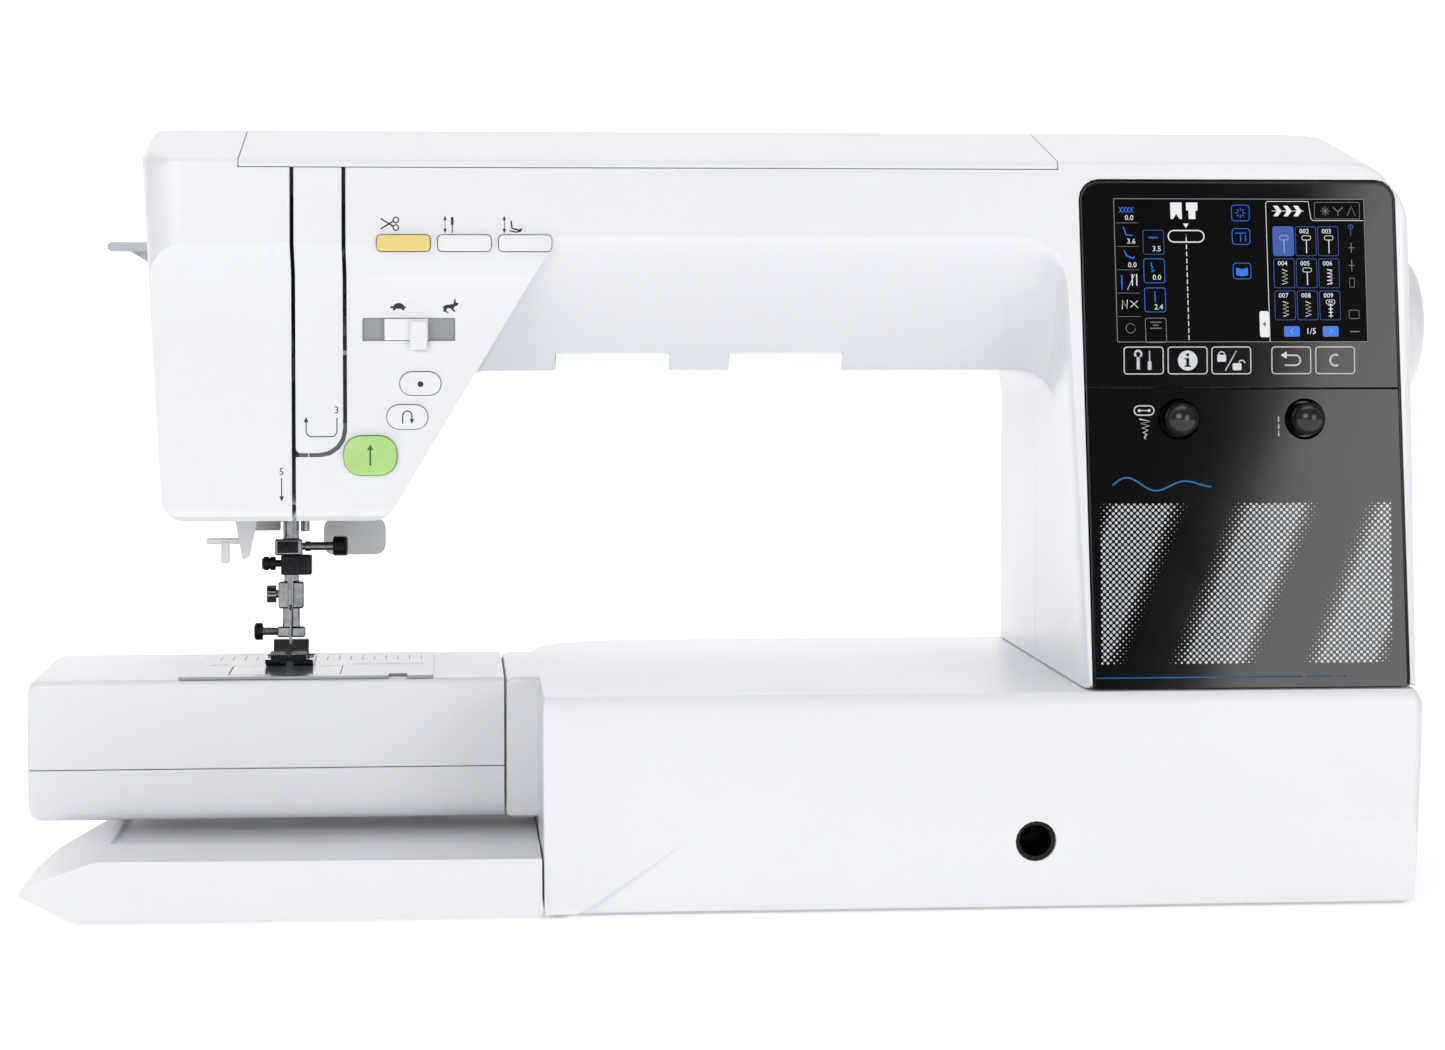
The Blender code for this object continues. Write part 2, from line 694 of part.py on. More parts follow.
def make_arm_covers(body):
    """Parts the moulding into face cover, front, rear, lid and thread strip."""
    cheek = slot_x - slot_width / 2
    seam = -0.0010
    mouth = box("needle_mouth", (needle_x - 0.0300, -0.0260, head_bottom - 0.02),
                (needle_x + 0.0380, 0.0500, head_bottom + 0.0300))
    lid_box = box("lid_region", (lid_left, -big, lid_front_z), (lid_right, lid_rear, big))
    lid_gap = box("lid_opening", (lid_left - gap, -big, lid_front_z - gap),
                  (lid_right + gap, lid_rear + gap, big))

    face = arm_piece("face_cover", body, white)
    keep(face, box("face_region", (-big, -big, 0.0), (cheek, big, big)))
    cut(face, lid_gap, mouth)
    lever_slot = box("lever_slot", (head_left - 0.01, lever_y - 0.0035, lever_z - 0.0340),
                     (head_left + 0.01, lever_y + 0.0035, lever_z + 0.0060))
    hook_slot = box("cutter_slot", (head_left - 0.02, cutter_y - 0.0020 - gap, cutter_z - 0.0215),
                    (head_left + 0.018, cutter_y + 0.0020 + gap, cutter_z + 0.0225))
    cut(face, lever_slot, hook_slot)

    front = arm_piece("arm_front_cover", body, white)
    keep(front, box("front_region", (cheek + slot_width, -big, 0.0), (big, seam - gap / 2, big)))
    cut(front, lid_gap, mouth)

    rear = arm_piece("arm_rear_cover", body, white)
    keep(rear, box("rear_region", (cheek + gap, seam + gap / 2, 0.0), (big, big, big)))
    cut(rear, lid_gap, mouth)

    lid = arm_piece("top_lid", body, white)
    keep(lid, lid_box)

    right = slot_x + slot_width / 2 + strip_width
    bottom = crease_z - 0.0826
    left = cheek + slot_width
    outline = [(left, lid_front_z - gap, 0.0003), (right - slot_width, lid_front_z - gap, 0.0003),
               (right - slot_width, bottom, 0.0095), (left, bottom, 0.0020)]
    strip = arm_piece("thread_channel_cover", body, white)
    keep(strip, prism("strip_region", round_corners(outline), -big, -0.070, "Y"))
    around = [(cheek - 0.01, lid_front_z + 0.01, 0.0003), (right, lid_front_z + 0.01, 0.0003),
              (right, bottom - slot_width, 0.0105), (cheek - 0.01, bottom - slot_width, 0.0003)]
    cut(front, prism("strip_opening", round_corners(around), -big, -0.070, "Y"))

    bore = shaft_radius + 0.0025
    for item in (front, rear):
        hole = cylinder(item.name + "_shaft_hole", (pillar_right - 0.03, 0, shaft_z),
                        (pillar_right + 0.03, 0, shaft_z), bore)
        cut(item, hole)
    hinge_at(settle(lid), ((lid_left + lid_right) / 2, lid_rear, arm_top))
    return front, rear, face


def make_spool_tray():
    """Floor of the thread compartment under the lid, with the spool pin's and winder's holes."""
    low = lid_front_z - 0.0340
    tray = box("spool_tray", (slot_x + 0.0120, -0.0900, low),
               (lid_right - 0.004, lid_rear - 0.006, low + wall), pale_grey)
    rim_height = 0.0160
    rim = box("tray_rim", (slot_x + 0.0120, lid_rear - 0.006 - wall, low + 0.001),
              (lid_right - 0.004, lid_rear - 0.006, low + rim_height))
    join(tray, rim)
    holes = []
    for name, x, y, radius in (("spool", spool_x, spool_y, 0.0030), ("winder", winder_x, winder_y, 0.0030)):
        holes.append(cylinder(name + "_hole", (x, y, low - 0.01), (x, y, low + 0.01), radius + gap,
                              None, 16))
    cut(tray, *holes)
    return tray


spool_x = -0.0300
spool_y = -0.0200
winder_x = 0.0850
winder_y = -0.0300


def make_spool_and_winder():
    low = lid_front_z - 0.0340 - 0.0060
    top = arm_top - wall - 0.0060
    place = Matrix.Translation((spool_x, spool_y, low))
    tall = top - low
    shoulder = 0.0060 + wall + gap
    profile = [(0.0, tall), (0.0020, tall), (0.0024, tall - 0.0015), (0.0026, shoulder + 0.0020),
               (0.0080, shoulder + 0.0016), (0.0080, shoulder), (0.0030, shoulder), (0.0030, 0.0),
               (0.0, 0.0)]
    turned("spool_pin", profile, place, pale_grey, 16)
    place = Matrix.Translation((winder_x, winder_y, low))
    profile = [(0.0, tall - 0.012), (0.0022, tall - 0.012), (0.0028, tall - 0.015),
               (0.0028, shoulder + 0.0040), (0.0085, shoulder + 0.0030), (0.0085, shoulder),
               (0.0030, shoulder), (0.0030, 0.0), (0.0, 0.0)]
    winder = turned("bobbin_winder", profile, place, steel, 16)
    hinge_at(winder, (winder_x, winder_y, low))


# ---- control panel and buttons -------------------------------------------------------------
panel_split = 0.2066
panel_top = 0.2897
panel_slant = 0.0044         # the panel's foot is this much further right than its top
knob_z = 0.1945
knob_radius = 0.0066
knob_proud = 0.0110          # the ball's top stands this far out of the panel
width_knob_x = panel_left + 0.0400
length_knob_x = panel_left + 0.0912


def panel_corners(low, high, top_radius, bottom_radius):
    """The panel's outline between two heights; its sides lean with the pillar."""
    def side(x, z):
        return x + panel_slant * (panel_top - z) / (panel_top - arm_floor)
    left = panel_left + 0.0003
    right = panel_right + 0.0004
    return [(side(left, high), high, top_radius), (side(right, high), high, top_radius),
            (side(right, low), low, bottom_radius), (side(left, low), low, bottom_radius)]


def make_panels(front):
    floor = arm_floor + 0.0004
    whole = panel_corners(floor - 0.01, panel_top + gap, 0.0078, 0.0005)
    recess = on_face("panel_recess", round_corners(inset(whole, -gap)), -0.02, panel_thickness + gap)
    cut(front, recess)
    behind = panel_corners(floor + 0.006, panel_top - 0.005, 0.0040, 0.0005)
    cut(front, on_face("panel_window", round_corners(inset(behind, 0.004)), -0.02, 0.02))
    upper = panel_corners(panel_split + gap, panel_top, 0.0078, 0.0005)
    on_face("display_panel", round_corners(upper), 0.0002, panel_thickness, gloss_black)
    lower = panel_corners(floor, panel_split - gap, 0.0005, 0.0005)
    panel = on_face("lower_panel", round_corners(lower, 2), 0.0002, panel_thickness, gloss_black)
    for name, x in (("width_knob", width_knob_x), ("length_knob", length_knob_x)):
        make_knob(name, x, panel)
    board = box("control_board", (panel_left + 0.012, face_y(0.12) + 0.0140, 0.1080),
                (panel_right - 0.010, face_y(0.12) + 0.0156, 0.2760), board_green)
    board.data.transform(Matrix.Translation((0, 0.006, 0)))


def make_knob(name, x, panel):
    """A ball-topped knob on a stem, standing square to the leaning panel."""
    lean = atan(face_lean)
    foot = Vector((x, face_y(knob_z), knob_z))
    place = Matrix.Translation(foot) @ Matrix.Rotation(pi / 2 - lean, 4, "X")
    centre = knob_proud - knob_radius
    profile = [(0.0, knob_proud)]
    for step in range(1, 7):
        turn = radians(15 * step)
        profile.append((knob_radius * sin(turn), centre + knob_radius * cos(turn)))
    profile += [(knob_radius * 0.93, centre - knob_radius * 0.36), (0.0036, centre - knob_radius * 0.48),
                (0.0030, -0.0090), (0.0, -0.0090)]
    knob = turned(name, profile, place, knob_black, 20)
    out = place.to_3x3() @ Vector((0, 0, 1))
    dimple = cylinder(name + "_dimple", foot - out * 0.0016, foot + out * 0.0030, knob_radius + 0.0006,
                      None, 24, knob_radius + 0.0042)
    cut(panel, dimple, cylinder(name + "_hole", foot - out * 0.02, foot + out * 0.02, 0.0042, None, 20))
    hinge_at(knob, foot)


key_width = 0.0207
key_pitch = 0.0238
key_left = needle_x + 0.0393
key_low = crease_z - 0.0030
key_high = crease_z + 0.0033


def make_upper_keys(front):
    """Three tab keys that straddle the lower edge of the upper face."""
    names = ("thread_cut_button", "needle_position_button", "presser_lift_button")
    for index, name in enumerate(names):
        x = key_left + key_pitch * index
        outline = rectangle(x, key_low, x + key_width, key_high, 0.0014)
        opening = round_corners(inset(outline, -gap), 2)
        cut(front, on_face(name + "_opening", opening, -0.02, 0.016))
        key = on_face(name, round_corners(outline, 2), -0.0022, 0.0060, yellow if index == 0 else white)
        hinge_at(key, (x + key_width / 2, face_y(crease_z), crease_z))


def make_head_buttons(front):
    """Push buttons on the head's lower face: lock stitch, reverse, start and stop."""
    y = head_face_y()
    centre_x = needle_x + 0.0560
    sizes = (
        ("lock_stitch_button", centre_x, 0.2090, 0.0162, 0.0092, 0.0046, 0.0008, white),
        ("reverse_button", centre_x - 0.0052, 0.1958, 0.0162, 0.0096, 0.0048, 0.0008, white),
        ("start_stop_button", needle_x + 0.0362, 0.1806, 0.0208, 0.0155, 0.0066, 0.0024, green),
    )
    for name, x, z, width, height, radius, proud, material in sizes:
        outline = rectangle(x - width / 2, z - height / 2, x + width / 2, z + height / 2, radius)
        opening = prism(name + "_opening", round_corners(inset(outline, -gap)), y - 0.02, y + 0.02, "Y")
        cut(front, opening)
        key = prism(name, round_corners(outline), y - proud, y + 0.0060, "Y", material)
        hinge_at(key, (x, y, z))


def make_speed_slider(front):
    """Slider for the sewing speed in its long slot."""
    y = head_face_y()
    left = needle_x + 0.0332
    low = crease_z - 0.0384
    slot = prism("speed_slot", round_corners(rectangle(left, low, left + 0.0366, low + 0.0092, 0.0004), 2),
                 y - 0.02, y + 0.02, "Y")
    cut(front, slot)
    knob_left = left + 0.0087
    slider = box("speed_slider", (knob_left, y - 0.0012, low + gap),
                 (knob_left + 0.0172, y + 0.0050, low + 0.0089), white, 0.0003)
    tab = box("slider_tab", (knob_left + 0.0100, y - 0.0034, low - 0.0034),
              (knob_left + 0.0169, y - 0.0008, low + 0.0081), None, 0.0006)
    join(slider, tab)
    hinge_at(slider, (knob_left + 0.0086, y, low + 0.0046))


# ---- needle bar, presser bar and the small mechanism at the head ---------------------------
lever_y = -0.0200
lever_z = 0.2638
cutter_y = -0.0400
cutter_z = 0.1730


def make_needle_group():
    top = 0.2860
    bar_bottom = 0.1272
    bar = cylinder("needle_bar", (needle_x, needle_y, bar_bottom), (needle_x, needle_y, top), 0.0030,
                   steel, 16)
    hinge_at(bar, (needle_x, needle_y, bar_bottom))
    clamp = box("needle_clamp", (needle_x - 0.0062, needle_y - 0.0062, 0.1344),
                (needle_x + 0.0054, needle_y + 0.0048, 0.1412), steel, 0.0006)
    block = box("clamp_block", (needle_x - 0.0034, needle_y - 0.0052, 0.1262),
                (needle_x + 0.0090, needle_y + 0.0040, 0.1346), None, 0.0006)
    join(clamp, block)
    bore = cylinder("clamp_bore", (needle_x, needle_y, 0.10), (needle_x, needle_y, 0.16), 0.0030 + gap,
                    None, 16)
    screw_hole = cylinder("clamp_screw_hole", (needle_x + 0.0040, needle_y, 0.1378),
                          (needle_x + 0.02, needle_y, 0.1378), 0.0016 + gap, None, 12)
    cut(clamp, bore, screw_hole)
    place = Matrix.Translation((needle_x + 0.0046, needle_y, 0.1378)) @ Matrix.Rotation(pi / 2, 4, "Y")
    profile = [(0.0, 0.0198), (0.0036, 0.0198), (0.0043, 0.0190), (0.0043, 0.0138), (0.0016, 0.0134),
               (0.0016, 0.0), (0.0, 0.0)]
    screw = turned("needle_clamp_screw", profile, place, dark_steel, 16)
    place = Matrix.Translation((needle_x, needle_y, 0.0))
    needle_top = bar_bottom - gap
    profile = [(0.0, needle_top), (0.0011, needle_top), (0.0011, 0.1130), (0.0005, 0.1105), (0.0005, 0.0965),
               (0.0, 0.0940)]
    needle = turned("needle", profile, place, steel, 10)
    carry(bar, clamp, screw, needle)


def make_presser_group():
    """Presser bar, its ankle with screws, and the clip-on zigzag foot."""
    bar_bottom = 0.1120
    bar = cylinder("presser_bar", (needle_x, presser_y, bar_bottom), (needle_x, presser_y, 0.2700), 0.0033,
                   steel, 16)
    hinge_at(bar, (needle_x, presser_y, bar_bottom))
    ankle = box("foot_holder", (needle_x - 0.0036, presser_y - 0.0046, 0.1000),
                (needle_x + 0.0036, presser_y + 0.0046, 0.1118), steel, 0.0006)
    collar = box("ankle_collar", (needle_x - 0.0054, presser_y - 0.0058, 0.1108),
                 (needle_x + 0.0054, presser_y + 0.0058, 0.1222), None, 0.0006)
    thumb = cylinder("thumb_screw", (needle_x - 0.0046, presser_y, 0.1166),
                     (needle_x - 0.0070, presser_y, 0.1166), 0.0018, None, 12)
    head = cylinder("thumb_head", (needle_x - 0.0064, presser_y, 0.1166),
                    (needle_x - 0.0104, presser_y, 0.1166), 0.0038, None, 16)
    saddle = box("ankle_saddle", (needle_x - 0.0060, presser_y - 0.0058, 0.0985),
                 (needle_x + 0.0060, presser_y + 0.0030, 0.1030), None, 0.0006)
    stub = cylinder("latch_stub", (needle_x - 0.0055, presser_y - 0.0020, 0.1008),
                    (needle_x - 0.0125, presser_y - 0.0020, 0.1008), 0.0017, None, 12)
    latch = cylinder("latch_knob", (needle_x - 0.0120, presser_y - 0.0020, 0.1008),
                     (needle_x - 0.0155, presser_y - 0.0020, 0.1008), 0.0034, None, 12)
    join(ankle, collar, thumb, head, saddle, stub, latch)
    socket = cylinder("ankle_bore", (needle_x, presser_y, bar_bottom - gap), (needle_x, presser_y, 0.13),
                      0.0033 + gap, None, 16)
    cut(ankle, socket)
    foot = make_presser_foot()
    carry(bar, ankle, foot)


def make_presser_foot():
    sole = plate_top + gap
    side = [(-0.0205, sole + 0.0052), (-0.0150, sole + 0.0012), (-0.0120, sole), (0.0160, sole),
            (0.0175, sole + 0.0012), (0.0175, sole + 0.0022), (0.0120, sole + 0.0026),
            (0.0110, sole + 0.0092),
            (0.0052, sole + 0.0092), (0.0046, sole + 0.0026), (-0.0125, sole + 0.0026),
            (-0.0195, sole + 0.0068)]
    foot = prism("presser_foot", side, needle_x - 0.0100, needle_x + 0.0100, "X", steel)
    slot = box("foot_needle_slot", (needle_x - 0.0046, needle_y - 0.0022, sole - 0.01),
               (needle_x + 0.0046, needle_y + 0.0024, sole + 0.02))
    split = box("toe_split", (needle_x - 0.0014, -0.03, sole - 0.01),
                (needle_x + 0.0014, needle_y, sole + 0.02))
    left = box("toe_left_trim", (needle_x - 0.02, -0.03, sole + 0.0030),
               (needle_x - 0.0075, 0.02, sole + 0.03))
    right = box("toe_right_trim", (needle_x + 0.0075, -0.03, sole + 0.0030),
                (needle_x + 0.02, 0.02, sole + 0.03))
    return cut(foot, slot, split, left, right)


def make_lifter_lever():
    """Presser-foot lever: a stem on a cross pin with a flat finger pad."""
    y = 0.0340
    pin_z = head_bottom + 0.0060
    x = needle_x + 0.0275
    lever = box("presser_lifter_lever", (x - 0.0038, y - 0.0020, 0.1440),
                (x + 0.0038, y + 0.0020, pin_z + 0.0020), pale_grey, 0.0004)
    pad = prism("lifter_pad", round_corners(rectangle(x - 0.0146, 0.1316, x + 0.0122, 0.1474, 0.0042)),
                y - 0.0022, y + 0.0018, "Y")
    hub = cylinder("lifter_hub", (x - 0.0060, y, pin_z), (x + 0.0060, y, pin_z), 0.0040, None, 16)
    join(lever, pad, hub)
    hinge_at(lever, (x, y, pin_z))


def make_threader():
    """Needle threader at the left of the needle, and its lever at the head's left side."""
    x = needle_x - 0.0205
    y = -0.0110
    side = [(x - 0.0018, 0.1500, 0.0006), (x - 0.0018, 0.1640, 0.0006), (x + 0.0070, 0.1640, 0.0006),
            (x + 0.0070, 0.1480, 0.0006), (x + 0.0040, 0.1342, 0.0012), (x + 0.0012, 0.1330, 0.0008)]
    body = prism("needle_threader", round_corners(side, 2), y - 0.0030, y + 0.0030, "Y", white)
    shelf = box("threader_shelf", (x - 0.0140, y - 0.0014, 0.1396), (x + 0.0010, y + 0.0014, 0.1422), None,
                0.0006)
    finger = box("threader_finger", (x - 0.0078, y - 0.0018, 0.1316), (x - 0.0042, y + 0.0018, 0.1410), None,
                 0.0006)
    join(body, shelf, finger)
    lever = box("threader_lever", (head_left - 0.0200, lever_y - 0.0075, lever_z - 0.0016),
                (head_left - 0.0012, lever_y + 0.0075, lever_z + 0.0022), pale_grey, 0.0012)
    stem = box("lever_stem", (head_left - 0.0040, lever_y - 0.0030, lever_z - 0.0010),
               (head_left + 0.0120, lever_y + 0.0030, lever_z + 0.0016))
    web = [(head_left - 0.0120, lever_z - 0.0010), (head_left - 0.0006, lever_z - 0.0010),
           (head_left - 0.0006, lever_z - 0.0068), (head_left - 0.0040, lever_z - 0.0060)]
    join(lever, stem, prism("lever_web", web, lever_y - 0.0012, lever_y + 0.0012, "Y"))
    hinge_at(lever, (head_left, lever_y, lever_z))
    hinge_at(body, (x, y, 0.1640))


def make_thread_cutter():
    """Fixed hooked blade holder in a slot of the head's left side."""
    left = head_left + 0.0005
    side = [(left - 0.0004, 0.0200), (left + 0.0100, 0.0215), (left + 0.0100, -0.0200),
            (left + 0.0050, -0.0205), (left - 0.0016, -0.0130), (left - 0.0016, -0.0095),
            (left + 0.0030, -0.0120), (left + 0.0030, 0.0080)]
    outline = [(x + 0.0048, cutter_z + z) for x, z in side]
    prism("thread_cutter", outline, cutter_y - 0.0020, cutter_y + 0.0020, "Y", pale_grey)


def make_take_up_lever():
    """Take-up lever that rises and falls in the left thread slot."""
    y = -0.0800
    outline = [(y, 0.2570, 0.0012), (y, 0.2620, 0.0012), (y + 0.0800, 0.2360, 0.0020),
               (y + 0.0800, 0.2270, 0.0020)]
    lever = prism("take_up_lever", round_corners(outline, 3), slot_x + 0.0040, slot_x + 0.0056, "X", steel)
    hinge_at(lever, (slot_x + 0.0048, y + 0.0760, 0.2320))


# ---- drive ---------------------------------------------------------------------------------
motor_x = pillar_left + 0.0560
motor_y = 0.0
motor_z = 0.1520
pulley_x = pillar_right - 0.0260
pulley_radius = 0.0230
motor_pulley_radius = 0.0092
belt_width = 0.0080
belt_thickness = 0.0014
belt_clearance = 0.0004      # the pulleys' rims lie this far inside the belt's pitch line
frame_front = 0.0345
frame_thickness = 0.0100


def along_x(x, y, z):
    return Matrix.Translation((x, y, z)) @ Matrix.Rotation(pi / 2, 4, "Y")


def make_main_shaft():
    left = needle_x + 0.0230
    shaft = cylinder("main_shaft", (left, 0, shaft_z), (wheel_face - 0.0060, 0, shaft_z), shaft_radius,
                     steel, 20)
    crank = cylinder("crank_disc", (left - 0.0010, 0, shaft_z), (left + 0.0070, 0, shaft_z), 0.0130,
                     None, 20)
    join(shaft, crank)
    hinge_at(shaft, (pulley_x, 0, shaft_z))
    bush_x = pulley_x - 0.0220
    profile = [(shaft_radius + gap, 0.012), (shaft_radius + 0.0030, 0.012), (shaft_radius + 0.0030, 0.0),
               (shaft_radius + gap, 0.0)]
    turned("shaft_bush", profile, along_x(bush_x - 0.0060, 0, shaft_z), bronze, 20)
    rim = pulley_radius - belt_clearance
    profile = [(shaft_radius + gap, belt_width + 0.0010), (rim, belt_width + 0.0010), (rim, 0.0),
               (shaft_radius + gap, 0.0)]
    place = along_x(pulley_x - belt_width / 2 - 0.0005, 0, shaft_z)
    pulley = turned("main_pulley", profile, place, cast, 28)
    hinge_at(pulley, (pulley_x, 0, shaft_z))
    make_handwheel()


def make_handwheel():
    """Hollow handwheel with a domed face."""
    inner = pillar_right + 0.0040
    deep = wheel_face - inner
    radius = wheel_radius
    hub = shaft_radius + 0.0050
    dome = ((0.45, 0.0006), (0.72, 0.0022), (0.89, 0.0044), (0.97, 0.0066), (1.0, 0.0090))
    profile = [(0.0, deep)] + [(radius * share, deep - drop) for share, drop in dome]
    profile += [(radius, 0.0015), (radius - 0.0012, 0.0), (radius - wall, 0.0),
                (radius - wall, deep - 0.0120), (hub, deep - 0.0100), (hub, 0.0040),
                (shaft_radius + gap, 0.0040), (shaft_radius + gap, deep - 0.0060 + gap),
                (0.0, deep - 0.0060 + gap)]
    wheel = turned("handwheel", profile, along_x(inner, 0, shaft_z), white, 36)
    hinge_at(wheel, (inner, 0, shaft_z))


def make_motor():
    body = cylinder("main_motor", (motor_x, motor_y, motor_z), (motor_x + 0.0480, motor_y, motor_z), 0.0250,
                    zinc, 24)
    shaft = cylinder("motor_shaft", (motor_x + 0.0470, motor_y, motor_z),
                     (pulley_x + 0.0080, motor_y, motor_z), 0.0025, None, 12)
    join(body, shaft)
    rim = motor_pulley_radius - belt_clearance
    bore = 0.0025 + gap
    profile = [(bore, belt_width + 0.0010), (rim, belt_width + 0.0010), (rim, 0.0), (bore, 0.0)]
    place = along_x(pulley_x - belt_width / 2 - 0.0005, motor_y, motor_z)
    pulley = turned("motor_pulley", profile, place, steel, 20)
    hinge_at(pulley, (pulley_x, motor_y, motor_z))


def belt_loop(extra, steps=12):
    """Outline in (Y, Z) round both pulleys, this far outside them."""
    span = shaft_z - motor_z
    big_radius = pulley_radius + extra
    small_radius = motor_pulley_radius + extra
    tilt = (big_radius - small_radius) / span
    start = degrees(pi / 2 - atan(sqrt(1 - tilt * tilt) / tilt))
    points = []
    for step in range(steps + 1):
        turn = radians(-start + (180 + 2 * start) * step / steps)
        points.append((big_radius * cos(turn), shaft_z + big_radius * sin(turn)))
    for step in range(steps + 1):
        turn = radians(180 + start + (180 - 2 * start) * step / steps)
        points.append((small_radius * cos(turn), motor_z + small_radius * sin(turn)))
    return points


def make_belt():
    left = pulley_x - belt_width / 2
    belt = prism("drive_belt", belt_loop(belt_thickness), left, left + belt_width, "X", rubber)
    cut(belt, prism("belt_inside", belt_loop(0.0002), left - 0.01, left + belt_width + 0.01, "X"))


def make_lower_shaft():
    left = hook_x + hook_radius + 0.0080
    shaft = cylinder("lower_shaft", (left, lower_shaft_y, lower_shaft_z),
                     (pillar_right - 0.0350, lower_shaft_y, lower_shaft_z), lower_shaft_radius, steel, 16)
    hinge_at(shaft, (left, lower_shaft_y, lower_shaft_z))


def make_chassis():
    """Cast C frame: column in the pillar, beams in the arm and bed, lugs that hold the shafts."""
    near = frame_front
    far = frame_front + frame_thickness
    head_x = needle_x + 0.0100
    column = pillar_left + 0.0420
    outer = pillar_right - 0.0140
    top = arm_top - 0.0300
    beam = arm_under + 0.0080
    low = 0.0340
    bed = 0.0620
    outline = [(head_left + 0.0140, top, 0.004), (outer, top, 0.010), (outer, low, 0.006),
               (free_arm_left + 0.0140, low, 0.004), (free_arm_left + 0.0140, bed, 0.004),
               (column, bed, 0.016), (column, beam, 0.016), (head_x + 0.0350, beam, 0.008),
               (head_x + 0.0200, head_bottom + 0.0340, 0.003),
               (head_left + 0.0140, head_bottom + 0.0340, 0.003)]
    frame = prism("chassis_frame", round_corners(outline, 3), near, far, "Y", cast)
    lower_bore = lower_shaft_radius + gap
    lugs = (
        ("left_lug", needle_x + 0.0450, shaft_z, 0.0115, 0.0, shaft_radius + gap),
        ("right_lug", pulley_x - 0.0270, shaft_z, 0.0130, 0.0, shaft_radius + 0.0030 + gap),
        ("lower_left_lug", base_left - 0.030, lower_shaft_z, 0.0080, lower_shaft_y, lower_bore),
        ("lower_right_lug", pillar_left + 0.0450, lower_shaft_z, 0.0080, lower_shaft_y, lower_bore),
    )
    width = 0.0100
    bores = []
    for name, x, z, half, axis_y, bore in lugs:
        join(frame, box(name, (x, axis_y - half, z - half), (x + width, near + 0.004, z + half)))
        bores.append(cylinder(name + "_bore", (x - width, axis_y, z), (x + 2 * width, axis_y, z), bore))
    cut(frame, *bores)
    bracket = box("bar_bracket", (needle_x - 0.0090, needle_y - 0.0090, 0.2080),
                  (needle_x + 0.0090, near + 0.004, 0.2180))
    join(frame, bracket)
    for name, y, radius in (("needle_bar_bore", needle_y, 0.0030), ("presser_bar_bore", presser_y, 0.0033)):
        cut(frame, cylinder(name, (needle_x, y, 0.19), (needle_x, y, 0.23), radius + gap, None, 16))
    cradle = box("motor_cradle", (motor_x + 0.006, -0.012, motor_z + 0.0250 + gap),
                 (motor_x + 0.040, near + 0.004, motor_z + 0.0320))
    join(frame, cradle)
    return frame


# ---- lamps ---------------------------------------------------------------------------------
lamp_length = 0.0466
lamp_starts = (needle_x + 0.1108, needle_x + 0.1820)


def make_lamps(front):
    """Two clear lamp lenses let into the corner where the arm's front slope meets its underside."""
    y = face_y(arm_under) + slope_run
    z = arm_under
    side = [(y - 0.0078, z + 0.0058), (y - 0.0006, z - 0.0008), (y + 0.0090, z - 0.0008),
            (y + 0.0090, z + 0.0034), (y + 0.0010, z + 0.0038), (y - 0.0050, z + 0.0092)]
    for name, x in zip(("lamp_lens_left", "lamp_lens_right"), lamp_starts):
        prism(name, side, x, x + lamp_length, "X", clear)
        opening = box(name + "_opening", (x - gap, y - 0.0082, z - 0.01),
                      (x + lamp_length + gap, y + 0.0094, z + 0.010))
        cut(front, opening)


# ---- build ---------------------------------------------------------------------------------
make_base_housing()
make_bottom_plate()
make_base_extension()
make_knee_socket()
make_mains()
make_free_arm()
make_needle_plate()
make_bobbin_cover()
make_feed_dog()
make_hook()
arm_body = make_arm_body()
front_cover, rear_cover, face_cover = make_arm_covers(arm_body)
make_panels(front_cover)
make_upper_keys(front_cover)
make_head_buttons(front_cover)
make_speed_slider(front_cover)
make_lamps(front_cover)
make_spool_tray()
make_spool_and_winder()
make_needle_group()
make_presser_group()
make_lifter_lever()
make_threader()
make_thread_cutter()
make_take_up_lever()
make_main_shaft()
make_motor()
make_belt()
make_lower_shaft()
make_chassis()
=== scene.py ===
import json
from math import atan, cos, pi, radians, sin

import bpy
from mathutils import Matrix, Vector


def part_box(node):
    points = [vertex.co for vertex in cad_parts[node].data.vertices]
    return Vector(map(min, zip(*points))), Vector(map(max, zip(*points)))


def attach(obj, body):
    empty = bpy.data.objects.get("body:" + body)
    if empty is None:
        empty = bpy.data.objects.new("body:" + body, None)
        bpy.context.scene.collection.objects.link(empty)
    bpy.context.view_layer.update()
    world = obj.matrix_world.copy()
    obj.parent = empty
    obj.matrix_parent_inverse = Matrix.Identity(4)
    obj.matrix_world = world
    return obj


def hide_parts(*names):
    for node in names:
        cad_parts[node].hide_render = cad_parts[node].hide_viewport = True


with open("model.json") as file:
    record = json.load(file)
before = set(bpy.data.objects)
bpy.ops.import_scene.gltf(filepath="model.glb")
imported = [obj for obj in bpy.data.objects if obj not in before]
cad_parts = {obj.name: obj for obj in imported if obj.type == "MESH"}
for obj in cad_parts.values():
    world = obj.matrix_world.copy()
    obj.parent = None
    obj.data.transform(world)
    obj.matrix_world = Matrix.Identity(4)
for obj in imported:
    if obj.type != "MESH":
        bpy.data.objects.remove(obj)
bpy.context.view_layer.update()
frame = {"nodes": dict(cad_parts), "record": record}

mm = 0.001
print("frame loaded:", len(frame["nodes"]), "nodes")


# colours and material nodes
def linear(hexCode):
    parts = [int(hexCode[i:i + 2], 16) / 255 for i in (0, 2, 4)]
    parts = [c / 12.92 if c < 0.04045 else ((c + 0.055) / 1.055) ** 2.4 for c in parts]
    return (*parts, 1.0)


def addNode(tree, kind, values=None, links=None, **settings):
    node = tree.nodes.new(kind)
    for name, value in settings.items():
        setattr(node, name, value)
    for socket, value in (values or {}).items():
        node.inputs[socket].default_value = value
    for socket, source in (links or {}).items():
        tree.links.new(source, node.inputs[socket])
    return node


